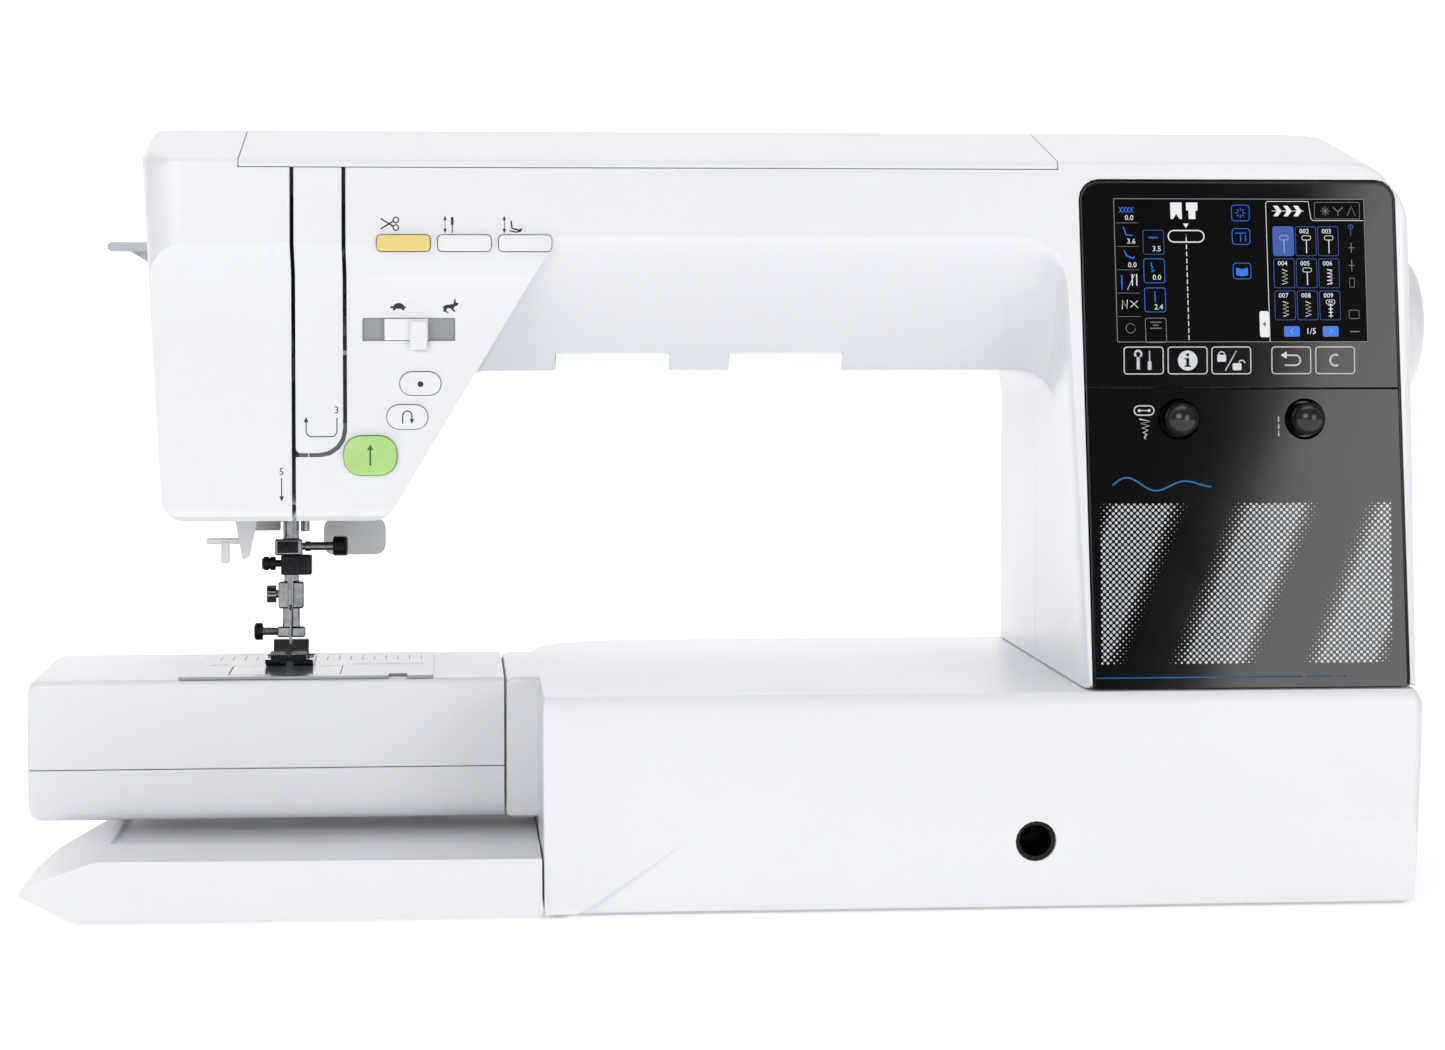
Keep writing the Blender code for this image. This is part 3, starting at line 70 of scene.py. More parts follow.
def startMaterial(name, colour, roughness, **sockets):
    material = bpy.data.materials.new(name)
    material.use_nodes = True
    tree = material.node_tree
    shader = tree.nodes["Principled BSDF"]
    shader.inputs["Base Color"].default_value = linear(colour)
    shader.inputs["Roughness"].default_value = roughness
    for socket, value in sockets.items():
        shader.inputs[socket.replace("_", " ")].default_value = value
    place = addNode(tree, "ShaderNodeTexCoord").outputs["Object"]
    return material, tree, shader, place


def varyColour(tree, shader, place, colour, other, patchMm, share):
    # two close shades in soft patches, from a noise with patches of a real size
    noise = addNode(tree, "ShaderNodeTexNoise", values={"Scale": 1000 / patchMm, "Detail": 3.0},
                    links={"Vector": place})
    amount = addNode(tree, "ShaderNodeMath", values={1: share}, links={0: noise.outputs["Fac"]},
                     operation="MULTIPLY")
    mixed = addNode(tree, "ShaderNodeMix", values={6: linear(colour), 7: linear(other)},
                    links={0: amount.outputs[0]}, data_type="RGBA")
    tree.links.new(mixed.outputs[2], shader.inputs["Base Color"])
    return mixed.outputs[2]


def varyGloss(tree, shader, place, low, high, patchMm):
    noise = addNode(tree, "ShaderNodeTexNoise", values={"Scale": 1000 / patchMm, "Detail": 4.0},
                    links={"Vector": place})
    spread = addNode(tree, "ShaderNodeMapRange", values={3: low, 4: high}, links={0: noise.outputs["Fac"]})
    tree.links.new(spread.outputs[0], shader.inputs["Roughness"])


def addGrain(tree, shader, place, grainMm, depthMm, detail=2.0):
    noise = addNode(tree, "ShaderNodeTexNoise", values={"Scale": 1000 / grainMm, "Detail": detail},
                    links={"Vector": place})
    bump = addNode(tree, "ShaderNodeBump", values={"Strength": 1.0, "Distance": depthMm * mm},
                   links={"Height": noise.outputs["Fac"]})
    tree.links.new(bump.outputs[0], shader.inputs["Normal"])
    return bump


def mouldedAbs(name, colour, other, gloss, grainMm=0.9, depthMm=0.004, **sockets):
    # ABS from a spark-eroded mould: an even fine grain and a satin gloss that clouds a little
    material, tree, shader, place = startMaterial(name, colour, gloss, IOR=1.53, **sockets)
    varyColour(tree, shader, place, colour, other, 60, 0.7)
    varyGloss(tree, shader, place, gloss - 0.05, gloss + 0.07, 25)
    addGrain(tree, shader, place, grainMm, depthMm)
    return material


def polishedAcrylic(name, colour, other):
    # black acrylic, cast and polished: near-mirror gloss with the faint waviness of a moulded sheet
    material, tree, shader, place = startMaterial(name, colour, 0.09, IOR=1.49)
    varyColour(tree, shader, place, colour, other, 45, 0.6)
    varyGloss(tree, shader, place, 0.05, 0.12, 30)
    addGrain(tree, shader, place, 28, 0.010, 0.0)
    return material


def halftoneAcrylic(name):
    # the same black acrylic, screen-printed behind with slanted bands of silver dots that shrink sideways
    material, tree, shader, place = startMaterial(name, "050608", 0.09, IOR=1.49)
    look = {"spacing": 1.75, "slant": 0.42, "bandWidth": 27.0, "left": 131.0, "right": 249.0, "low": 97.0,
            "high": 161.0, "dotRadius": 0.36}
    varyGloss(tree, shader, place, 0.05, 0.12, 30)
    addGrain(tree, shader, place, 28, 0.010, 0.0)
    turned = addNode(tree, "ShaderNodeMapping", values={"Rotation": (0, radians(45), 0),
                                                        "Scale": (1000 / look["spacing"],) * 3},
                     links={"Vector": place})
    cell = addNode(tree, "ShaderNodeVectorMath", links={0: turned.outputs[0]}, operation="FRACTION")
    centred = addNode(tree, "ShaderNodeVectorMath", values={1: (0.5, 0.5, 0.5)}, links={0: cell.outputs[0]},
                      operation="SUBTRACT")
    flat = addNode(tree, "ShaderNodeVectorMath", values={1: (1, 0, 1)}, links={0: centred.outputs[0]},
                   operation="MULTIPLY")
    away = addNode(tree, "ShaderNodeVectorMath", links={0: flat.outputs[0]}, operation="LENGTH")
    parts = addNode(tree, "ShaderNodeSeparateXYZ", links={0: place})
    leaned = addNode(tree, "ShaderNodeMath", values={1: -look["slant"]}, links={0: parts.outputs[2]},
                     operation="MULTIPLY")
    along = addNode(tree, "ShaderNodeMath", links={0: leaned.outputs[0], 1: parts.outputs[0]},
                    operation="ADD")
    scaled = addNode(tree, "ShaderNodeMath", values={1: 1000 / look["bandWidth"]},
                     links={0: along.outputs[0]}, operation="MULTIPLY")
    band = addNode(tree, "ShaderNodeMath", values={1: 1.0}, links={0: scaled.outputs[0]},
                   operation="PINGPONG")
    size = addNode(tree, "ShaderNodeMapRange", values={1: 0.30, 2: 0.62, 3: 0.0, 4: look["dotRadius"]},
                   links={0: band.outputs[0]})
    inside = size.outputs[0]
    for socket, low, high in ((0, look["left"], look["right"]), (2, look["low"], look["high"])):
        for edge, first, last in ((low, 0.0, 1.0), (high, 1.0, 0.0)):
            limit = addNode(tree, "ShaderNodeMapRange",
                            values={1: (edge - 0.5) * mm, 2: (edge + 0.5) * mm, 3: first, 4: last},
                            links={0: parts.outputs[socket]})
            inside = addNode(tree, "ShaderNodeMath", links={0: inside, 1: limit.outputs[0]},
                             operation="MULTIPLY").outputs[0]
    spare = addNode(tree, "ShaderNodeMath", links={0: inside, 1: away.outputs["Value"]}, operation="SUBTRACT")
    dot = addNode(tree, "ShaderNodeMapRange", values={1: -0.03, 2: 0.03}, links={0: spare.outputs[0]})
    mixed = addNode(tree, "ShaderNodeMix", values={6: linear("050608"), 7: linear("C9CDD1")},
                    links={0: dot.outputs[0]}, data_type="RGBA")
    tree.links.new(mixed.outputs[2], shader.inputs["Base Color"])
    return material


def clearAcrylic(name, colour, gloss):
    # clear moulded acrylic: lets light through, with slight flow lines from the mould gate
    material, tree, shader, place = startMaterial(name, colour, gloss, IOR=1.49, Transmission_Weight=0.9)
    varyGloss(tree, shader, place, gloss, gloss + 0.10, 6)
    addGrain(tree, shader, place, 3.5, 0.010)
    return material


def platedSteel(name, colour, other, low, high, brushMm=0.25):
    # nickel over ground steel: bright, with fine grinding lines that blur the reflections one way
    material, tree, shader, place = startMaterial(name, colour, low, Metallic=1.0)
    stretched = addNode(tree, "ShaderNodeMapping", values={"Scale": (0.04, 1.0, 1.0)},
                        links={"Vector": place})
    varyColour(tree, shader, stretched.outputs[0], colour, other, brushMm * 4, 0.8)
    varyGloss(tree, shader, stretched.outputs[0], low, high, brushMm * 2)
    addGrain(tree, shader, stretched.outputs[0], brushMm, 0.0025)
    return material


def brightChrome(name):
    # decorative chrome on buffed steel: painted reflections, light and dark grey patches in the base colour,
    # with faint buffing haze
    material, tree, shader, place = startMaterial(name, "8F9296", 0.08, Metallic=1.0)
    # painted reflections: light and dark grey patches about 3 mm across stand in for the mirrored
    # surroundings
    varyColour(tree, shader, place, "A9ACB0", "34373B", 3, 0.8)
    varyGloss(tree, shader, place, 0.05, 0.15, 3)
    addGrain(tree, shader, place, 1.5, 0.002)
    return material


def blackOxide(name):
    # hot-blackened steel with a film of oil: dark, half metallic, lighter where it is handled
    material, tree, shader, place = startMaterial(name, "17181B", 0.34, Metallic=0.85)
    varyColour(tree, shader, place, "131417", "3A3C40", 1.6, 0.7)
    varyGloss(tree, shader, place, 0.25, 0.45, 1.2)
    addGrain(tree, shader, place, 0.35, 0.006)
    return material


def castAluminium(name):
    # pressure-cast aluminium, unfinished: grey, frosty, pitted by the die
    material, tree, shader, place = startMaterial(name, "B4B6B8", 0.5, Metallic=1.0)
    varyColour(tree, shader, place, "B4B6B8", "8F9294", 9, 0.9)
    varyGloss(tree, shader, place, 0.38, 0.62, 4)
    addGrain(tree, shader, place, 0.8, 0.05, 5.0)
    return material


def mouldedRubber(name):
    # vulcanised rubber: deep grey-black, dull, with a dusty bloom
    material, tree, shader, place = startMaterial(name, "1B1B1C", 0.8, IOR=1.52)
    varyColour(tree, shader, place, "19191A", "2B2B2C", 5, 0.8)
    varyGloss(tree, shader, place, 0.68, 0.9, 3)
    addGrain(tree, shader, place, 0.5, 0.02)
    return material


def zincPlate(name):
    # bright zinc plate on a drawn steel can: bluish spangle in patches
    material, tree, shader, place = startMaterial(name, "B9BDC0", 0.3, Metallic=1.0)
    spangle = addNode(tree, "ShaderNodeTexVoronoi", values={"Scale": 1000 / 3.5}, links={"Vector": place})
    spread = addNode(tree, "ShaderNodeMapRange", values={3: 0.22, 4: 0.46},
                     links={0: spangle.outputs["Color"]})
    tree.links.new(spread.outputs[0], shader.inputs["Roughness"])
    varyColour(tree, shader, place, "BCC0C4", "9BA2A8", 3.5, 0.8)
    return material


def circuitBoard(name):
    # glass laminate under green solder mask: copper tracks show as lighter straight lines
    material, tree, shader, place = startMaterial(name, "0D3B1E", 0.35, IOR=1.5)
    tracks = addNode(tree, "ShaderNodeTexBrick", values={
        "Color1": linear("0D3B1E"), "Color2": linear("0A3119"), "Mortar": linear("2E7B45"),
        "Scale": 1000 / 30, "Mortar Size": 0.012}, links={"Vector": place})
    tree.links.new(tracks.outputs["Color"], shader.inputs["Base Color"])
    addGrain(tree, shader, place, 1.2, 0.01)
    return material


def sinteredBronze(name):
    # pressed and sintered bronze powder: brown-gold, open grained and oily
    material, tree, shader, place = startMaterial(name, "9A7444", 0.5, Metallic=1.0)
    varyColour(tree, shader, place, "9A7444", "6F4E2B", 0.6, 0.9)
    addGrain(tree, shader, place, 0.3, 0.02)
    return material


def litGreen(name):
    # translucent green ABS over a lamp: the light comes through strongest in the middle of the key
    material, tree, shader, place = startMaterial(name, "B2D98A", 0.28, IOR=1.5, Subsurface_Weight=0.3,
                                                  Subsurface_Scale=0.002)
    glow = varyColour(tree, shader, place, "B6DB90", "A4CF78", 6, 0.9)
    tree.links.new(glow, shader.inputs["Emission Color"])
    shader.inputs["Emission Strength"].default_value = 0.1
    addGrain(tree, shader, place, 0.9, 0.003)
    return material


def printedInk(name, colour, other):
    # pad-printed ink: a thin matt film that thins out in tiny specks
    material, tree, shader, place = startMaterial(name, colour, 0.45, IOR=1.5)
    varyColour(tree, shader, place, colour, other, 0.6, 0.6)
    return material


def litCrystal(name, colour, other, strength):
    # liquid crystal picture elements lit from behind, with the faint grid between the elements
    material, tree, shader, place = startMaterial(name, "050608", 0.25, IOR=1.5)
    grid = addNode(tree, "ShaderNodeTexNoise", values={"Scale": 1000 / 1.5, "Detail": 1.0},
                   links={"Vector": place})
    mixed = addNode(tree, "ShaderNodeMix", values={6: linear(colour), 7: linear(other)},
                    links={0: grid.outputs["Fac"]}, data_type="RGBA")
    tree.links.new(mixed.outputs[2], shader.inputs["Emission Color"])
    shader.inputs["Emission Strength"].default_value = strength
    return material


def frostedAcrylic(name):
    # lens over a lamp: clear acrylic with a fine frosted inside that spreads the light to an even white
    material, tree, shader, place = startMaterial(name, "F1F4F6", 0.2, IOR=1.49, Transmission_Weight=0.35)
    varyColour(tree, shader, place, "F3F6F8", "E6EBEF", 4, 0.6)
    varyGloss(tree, shader, place, 0.14, 0.26, 5)
    shader.inputs["Emission Color"].default_value = linear("FFFFFF")
    shader.inputs["Emission Strength"].default_value = 0.22
    addGrain(tree, shader, place, 1.2, 0.006)
    return material


def screenFilm(name):
    # anti-glare film over the display: black, etched so that it mirrors almost nothing
    material, tree, shader, place = startMaterial(name, "020203", 0.38, IOR=1.3, Specular_IOR_Level=0.12)
    varyColour(tree, shader, place, "020203", "040507", 20, 0.6)
    addGrain(tree, shader, place, 0.3, 0.001)
    return material


whiteShell = mouldedAbs("whiteAbsMoulded", "EDEEF2", "E6E8EC", 0.30, Subsurface_Weight=0.06,
                        Subsurface_Scale=0.003)
whiteKeys = mouldedAbs("whiteAbsKeys", "EFF0F3", "E7E9ED", 0.27)
paleGrey = mouldedAbs("paleGreyAbsMoulded", "C3C8CC", "B6BCC0", 0.38)
yellowKey = mouldedAbs("yellowAbsKey", "EFD88A", "E9CE78", 0.30)
knobBlack = mouldedAbs("blackAbsSatin", "17181A", "1F2023", 0.24, 0.7, 0.003)
blackGloss = polishedAcrylic("blackAcrylicPolished", "050608", "0A0C10")
blackPrinted = halftoneAcrylic("blackAcrylicPrinted")
clearPlastic = clearAcrylic("clearAcrylicMoulded", "E4ECF0", 0.06)
nickel = platedSteel("nickelPlatedSteel", "BFC1C3", "A5A7AA", 0.16, 0.34)
plateNickel = platedSteel("nickelPlatedPlate", "A9ABAE", "8F9295", 0.16, 0.30, 0.45)
blackSteel = blackOxide("blackOxideSteel")
chrome = brightChrome("chromeBuffedPaintedReflections")
guideGrey = mouldedAbs("guideAcetalGrey", "CFCDC6", "BDBBB4", 0.35)
# painted light: the lifter paddle gets a lighter grey than the other pale grey parts, to offset the shade the
# head casts on it
paddleGreyPaintedLight = mouldedAbs("paddleGreyAbs", "E2E6E7", "D6DBDC", 0.32)
castAlloy = castAluminium("castAluminiumRaw")
blackRubber = mouldedRubber("blackRubberMoulded")
boardGreen = circuitBoard("circuitBoardLaminate")
zincSteel = zincPlate("zincPlatedSteel")
bronze = sinteredBronze("sinteredBronzeOiled")
greenKey = litGreen("greenAbsLit")
inkBlack = printedInk("inkBlackPrint", "1C1D20", "2A2B2E")
inkWhite = printedInk("inkWhitePrint", "D8DBDE", "C6CACE")
inkGreen = printedInk("inkGreenPrint", "2F6B1A", "3B7A24")
inkBlue = printedInk("inkBluePrint", "1E6FA8", "185F92")
engraved = printedInk("engravedLineFill", "55585B", "6A6D70")
lcdWhite = litCrystal("lcdWhite", "F2F5F8", "E6ECF1", 0.95)
lcdBlue = litCrystal("lcdBlue", "0F62D6", "1C78EA", 0.95)
lcdDeep = litCrystal("lcdDeepBlue", "0D4698", "1456B0", 0.95)
lcdGrey = litCrystal("lcdGrey", "85898F", "777C82", 0.8)
lcdRed = litCrystal("lcdRed", "E0552A", "C8461F", 0.9)
lensFrosted = frostedAcrylic("acrylicFrostedLens")
screenBlack = screenFilm("screenFilmEtched")
channelGrey = mouldedAbs("channelGreyAbs", "9DA1A4", "8E9295", 0.42)
print("materials made:", len(bpy.data.materials))


# editing by hand, in code
def deselectAll():
    if bpy.context.object and bpy.context.object.mode != "OBJECT":
        bpy.ops.object.mode_set(mode="OBJECT")
    bpy.ops.object.select_all(action="DESELECT")


def activate(item):
    deselectAll()
    item.select_set(True)
    bpy.context.view_layer.objects.active = item


def applyModifiers(piece):
    activate(piece)
    for change in list(piece.modifiers):
        bpy.ops.object.modifier_apply(modifier=change.name)


def finishPiece(piece, name, body, material, hides=(), angle=32):
    applyModifiers(piece)
    bpy.ops.object.transform_apply(location=True, rotation=True, scale=True)
    if angle:
        bpy.ops.object.shade_smooth_by_angle(angle=radians(angle))
    piece.name = name
    piece.data.name = name
    piece.data.materials.clear()
    piece.data.materials.append(material)
    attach(piece, body)
    if hides:
        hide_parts(*hides)
    return piece


def copyOfNode(node):
    piece = bpy.data.objects.new(node + "Shell", frame["nodes"][node].data.copy())
    bpy.context.scene.collection.objects.link(piece)
    activate(piece)
    bpy.ops.mesh.customdata_custom_splitnormals_clear()
    bpy.ops.object.mode_set(mode="EDIT")
    bpy.ops.mesh.select_all(action="SELECT")
    bpy.ops.mesh.remove_doubles(threshold=0.000003)
    bpy.ops.mesh.dissolve_limited(angle_limit=radians(0.6))
    bpy.ops.object.mode_set(mode="OBJECT")
    return piece


bodyOf = {node: body for body, nodes in frame["record"]["behaviour"]["bodies"].items() for node in nodes}
slotOf = {part["node"]: part["material_slot"] for part in frame["record"]["subparts"]}


def softenedCopy(node, material, edgeMm, smoothAngle=32, segments=2, edgeAngle=34):
    # the CAD solid with its mould radii: every hard edge gets a small round
    piece = copyOfNode(node)
    if edgeMm > 0:
        bevel = piece.modifiers.new("mouldRadius", "BEVEL")
        bevel.width = edgeMm * mm
        bevel.segments = segments
        bevel.limit_method = "ANGLE"
        bevel.angle_limit = radians(edgeAngle)
        bevel.miter_outer = "MITER_ARC"
    even = piece.modifiers.new("evenNormals", "WEIGHTED_NORMAL")
    even.keep_sharp = True
    activate(piece)
    bpy.ops.object.shade_smooth_by_angle(angle=radians(smoothAngle))
    return finishPiece(piece, node + "Skin", bodyOf[node], material, [node], angle=0)


shellEdges = {
    "base_housing": 0.5, "base_extension": 0.5, "free_arm_upper_cover": 0.4, "free_arm_lower_cover": 0.4,
    "arm_front_cover": 0.4, "arm_rear_cover": 0.4, "top_lid": 0.4, "face_cover": 0.4,
    "thread_channel_cover": 0.4,
}
for node, edgeMm in shellEdges.items():
    softenedCopy(node, whiteShell, edgeMm)
print("white shells softened")

plainFinishes = {
    "needle_position_button": whiteKeys, "presser_lift_button": whiteKeys, "lock_stitch_button": whiteKeys,
    "reverse_button": whiteKeys, "speed_slider": whiteKeys, "thread_cut_button": yellowKey,
    "start_stop_button": greenKey, "handwheel": whiteShell, "needle_threader": whiteKeys,
    "bottom_plate": paleGrey, "spool_tray": paleGrey, "spool_pin": paleGrey, "threader_lever": paleGrey,
    "presser_lifter_lever": paddleGreyPaintedLight, "thread_cutter": paleGrey, "display_panel": blackGloss,
    "lower_panel": blackPrinted, "width_knob": knobBlack, "length_knob": knobBlack, "power_inlet": knobBlack,
    "power_switch": knobBlack, "bobbin_cover": clearPlastic, "bobbin": clearPlastic,
    "lamp_lens_left": lensFrosted, "lamp_lens_right": lensFrosted, "needle_plate": plateNickel,
    "feed_dog": nickel, "needle_bar": chrome, "needle_clamp": chrome, "needle": chrome, "presser_bar": chrome,
    "foot_holder": chrome, "presser_foot": chrome, "take_up_lever": nickel, "main_shaft": nickel,
    "lower_shaft": nickel, "motor_pulley": nickel, "rotary_hook": nickel, "bobbin_winder": nickel,
    "needle_clamp_screw": blackSteel, "knee_lifter_socket": blackSteel, "chassis_frame": castAlloy,
    "main_pulley": castAlloy, "foot_front_left": blackRubber, "foot_front_right": blackRubber,
    "foot_rear_left": blackRubber, "foot_rear_right": blackRubber, "drive_belt": blackRubber,
    "control_board": boardGreen, "main_motor": zincSteel, "shaft_bush": bronze,
}
for node, material in plainFinishes.items():
    for entry in frame["nodes"][node].material_slots:
        entry.material = material
smallEdges = {
    "thread_cut_button": 0.35, "needle_position_button": 0.35, "presser_lift_button": 0.35,
    "lock_stitch_button": 0.3, "reverse_button": 0.3, "start_stop_button": 0.35, "speed_slider": 0.25,
    "display_panel": 0.25, "lower_panel": 0.25, "needle_threader": 0.3, "threader_lever": 0.35,
    "presser_lifter_lever": 0.5, "thread_cutter": 0.3, "needle_plate": 0.12, "needle_clamp": 0.25,
    "presser_foot": 0.25, "foot_holder": 0.2, "lamp_lens_left": 0.3, "lamp_lens_right": 0.3,
    "power_switch": 0.3, "power_inlet": 0.3, "bottom_plate": 0.3, "spool_tray": 0.4, "feed_dog": 0.08,
    "chassis_frame": 0.6, "take_up_lever": 0.25,
}
for node, edgeMm in smallEdges.items():
    softenedCopy(node, plainFinishes[node], edgeMm)
print("finishes given to the other nodes")


# turned and block pieces
def turnedPiece(name, profile, place, material, body, hides=(), steps=72):
    # raised ring by ring from a disc; each (radius, height) of the half outline is in millimetres
    deselectAll()
    radius, height = profile[0]
    bpy.ops.mesh.primitive_circle_add(vertices=steps, radius=radius * mm, fill_type="NGON",
                                      location=(0, 0, height * mm))
    bpy.ops.object.transform_apply(location=True, rotation=True, scale=True)
    bpy.ops.object.mode_set(mode="EDIT")
    bpy.ops.mesh.select_all(action="SELECT")
    for nextRadius, nextHeight in profile[1:]:
        bpy.ops.mesh.extrude_region_move(TRANSFORM_OT_translate={"value": (0, 0, (nextHeight - height) * mm)})
        ratio = nextRadius / radius
        bpy.ops.transform.resize(value=(ratio, ratio, 1), center_override=(0, 0, 0))
        radius, height = nextRadius, nextHeight
    bpy.ops.mesh.select_all(action="SELECT")
    bpy.ops.mesh.normals_make_consistent(inside=False)
    bpy.ops.object.mode_set(mode="OBJECT")
    piece = bpy.context.object
    piece.data.transform(place)
    return finishPiece(piece, name, body, material, hides)


def blockPiece(name, low, high, edgeMm, material, body, slotName, hides=()):
    # a block between two corners in millimetres, every edge rounded
    deselectAll()
    bpy.ops.mesh.primitive_cube_add(size=1, location=[(a + b) / 2 * mm for a, b in zip(low, high)],
                                    scale=[(b - a) * mm for a, b in zip(low, high)])
    bpy.ops.object.transform_apply(location=True, rotation=True, scale=True)
    bpy.ops.object.mode_set(mode="EDIT")
    bpy.ops.mesh.select_all(action="SELECT")
    bpy.ops.mesh.bevel(offset=edgeMm * mm, segments=3, affect="EDGES")
    bpy.ops.object.mode_set(mode="OBJECT")
    return finishPiece(bpy.context.object, name, body, material, hides)


def makeKnobs():
    # ball on a waisted stem; the ball's top is slightly flattened where the finger rests
    ball = {"radius": 6.6, "proud": 11.0, "stem": 3.0, "waist": 2.5, "below": 9.0, "height": 194.5}
    centre = ball["proud"] - ball["radius"]
    for node in ("width_knob", "length_knob"):
        low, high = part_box(node)
        profile = [(ball["stem"], -ball["below"]), (ball["stem"], -1.0), (ball["waist"], 0.4),
                   (ball["waist"] + 0.3, centre - ball["radius"] * 0.86)]
        for step in range(3, 32):
            turn = radians(180 - 5.6 * step)
            profile.append((ball["radius"] * sin(turn), centre + ball["radius"] * cos(turn)))
        profile.append((0.4, ball["proud"]))
        lean = atan(faceLean)
        foot = Vector(((low.x + high.x) / 2, 0, ball["height"] * mm))
        foot.y = panelFoot.y - 0.2 * mm + faceLean * (foot.z - panelFoot.z)
        place = Matrix.Translation(foot) @ Matrix.Rotation(pi / 2 - lean, 4, "X")
        turnedPiece(node + "Ball", profile, place, knobBlack, bodyOf[node], [node])


def makeHandwheel():
    # domed wheel with a finger groove behind its rim, hollow from the back
    low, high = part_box("handwheel")
    radius = (high.z - low.z) / 2 / mm
    deep = (high.x - low.x) / mm
    dome = ((0.997, 10.6), (1.0, 9.0), (0.992, 7.8), (0.972, 6.6), (0.94, 5.5), (0.89, 4.4), (0.82, 3.3),
            (0.72, 2.2), (0.60, 1.3), (0.45, 0.6), (0.28, 0.2), (0.1, 0.03), (0.01, 0.0))
    profile = [(6.0, deep - 13.0), (radius - 3.4, deep - 13.0), (radius - 3.0, 0.0), (radius - 1.2, 0.0),
               (radius - 0.3, 1.0), (radius - 0.3, 4.6), (radius - 0.9, 5.1), (radius - 0.9, 5.9),
               (radius - 0.1, 6.4)]
    profile += [(radius * share, deep - drop) for share, drop in dome]
    place = Matrix.Translation((low.x, 0, (low.z + high.z) / 2)) @ Matrix.Rotation(pi / 2, 4, "Y")
    turnedPiece("handwheelDomed", profile, place, whiteShell, bodyOf["handwheel"],
                ["handwheel"], 120)


def makeNeedleParts():
    # clamp screw with its knurled head, the black thread-guide block, the guides round the bars, the latch
    parts = {
        "stem": [(1.5, 0.0), (1.5, 1.6), (2.1, 1.8), (2.1, 4.0), (1.8, 4.2), (1.8, 13.6)],
        "collar": [(1.5, 0.0), (1.5, 2.6), (2.9, 2.8), (2.9, 4.8), (2.4, 5.0), (2.4, 5.4), (2.9, 5.6),
                   (2.9, 7.6), (2.3, 8.0), (2.3, 8.4)],
        "rod": [(1.7, 0.0), (1.9, 0.3), (1.9, 26.0)],
        "latch": [(1.9, 0.0), (3.5, 0.3), (3.7, 0.9), (3.7, 3.0), (3.3, 3.6), (2.4, 3.9)],
        "block": ((-198.0, -6.5, 126.0), (-185.1, 3.2, 134.3)),
        "plate": ((-199.4, -7.5, 135.4), (-190.6, -6.9, 140.4)),
        "collarAt": (-197.6, -2.4, 130.7), "rodAt": (-188.3, 8.4, 143.5),
        "ribs": 5, "guideTop": 166.0,
    }
    low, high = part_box("needle_clamp_screw")
    middle = Vector((low.x, (low.y + high.y) / 2, (low.z + high.z) / 2))
    across = Matrix.Translation(middle) @ Matrix.Rotation(pi / 2, 4, "Y")
    body, slotName = bodyOf["needle_clamp_screw"], slotOf["needle_clamp_screw"]
    turnedPiece("clampScrewStem", parts["stem"], across, chrome, body, ["needle_clamp_screw"], 32)
    head = [(1.6, 13.3), (3.6, 13.5), (4.0, 14.0)]
    for i in range(parts["ribs"]):
        head += [(4.25, 14.4 + i), (4.25, 14.8 + i), (4.05, 15.0 + i), (4.05, 15.2 + i)]
    head += [(3.8, 19.4), (3.2, 19.7)]
    turnedPiece("clampScrewHead", head, across, blackSteel, body, steps=32)
    clamp, clampSlot = bodyOf["needle_clamp"], slotOf["needle_clamp"]
    blockPiece("threadGuideBlock", *parts["block"], 0.7, blackSteel, clamp, clampSlot)
    collar = Matrix.Translation(Vector(parts["collarAt"]) * mm) @ Matrix.Rotation(-pi / 2, 4, "Y")
    turnedPiece("threadGuideCollar", parts["collar"], collar, blackSteel, clamp, steps=32)
    blockPiece("clampFacePlate", *parts["plate"], 0.2, blackSteel, clamp, clampSlot)
    guide = Matrix.Translation(Vector(parts["rodAt"]) * mm)
    turnedPiece("guideRod", parts["rod"], guide, chrome, "root", steps=32)
    for name, (left, near, foot), (right, far), edgeMm in (
            ("guideShoe", (-210.2, 14.5, 143.4), (-199.2, 22.0), 0.6),
            ("guideShoeStep", (-206.4, 14.0, 147.2), (-198.0, 21.0), 0.5),
            ("guideShoeRight", (-189.4, 15.0, 147.6), (-184.6, 21.0), 0.5)):
        blockPiece(name, (left, near, foot), (right, far, parts["guideTop"]), edgeMm, guideGrey, "root",
                   "white_shell")
    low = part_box("foot_holder")[0]
    latch = Matrix.Translation((low.x + 3.6 * mm, 0.0085, 0.1008)) @ Matrix.Rotation(-pi / 2, 4, "Y")
    turnedPiece("footLatchCap", parts["latch"], latch, blackSteel, bodyOf["foot_holder"],
                steps=32)


def makeSliderChannel():
    # grey channel behind the speed slider: a tray whose floor lies behind the slider's back
    slot = {"left": -161.3, "right": -124.3, "low": 225.6, "high": 235.2, "near": 1.6, "far": 7.2}
    near = headFace + slot["near"] * mm
    far = headFace + slot["far"] * mm
    deselectAll()
    size = ((slot["right"] - slot["left"]) * mm, far - near, (slot["high"] - slot["low"]) * mm)
    middle = ((slot["right"] + slot["left"]) / 2 * mm, (near + far) / 2,
              (slot["high"] + slot["low"]) / 2 * mm)
    bpy.ops.mesh.primitive_cube_add(size=1, location=middle, scale=size)
    bpy.ops.object.transform_apply(location=True, rotation=True, scale=True)
    tray = bpy.context.object
    for face in tray.data.polygons:
        face.select = face.normal.y < -0.9
    bpy.ops.object.mode_set(mode="EDIT")
    bpy.ops.mesh.inset(thickness=0.35 * mm)
    bpy.ops.mesh.extrude_region_move(TRANSFORM_OT_translate={"value": (0, 4.4 * mm, 0)})
    bpy.ops.object.mode_set(mode="OBJECT")
    finishPiece(tray, "speedSlotChannel", "root", channelGrey)


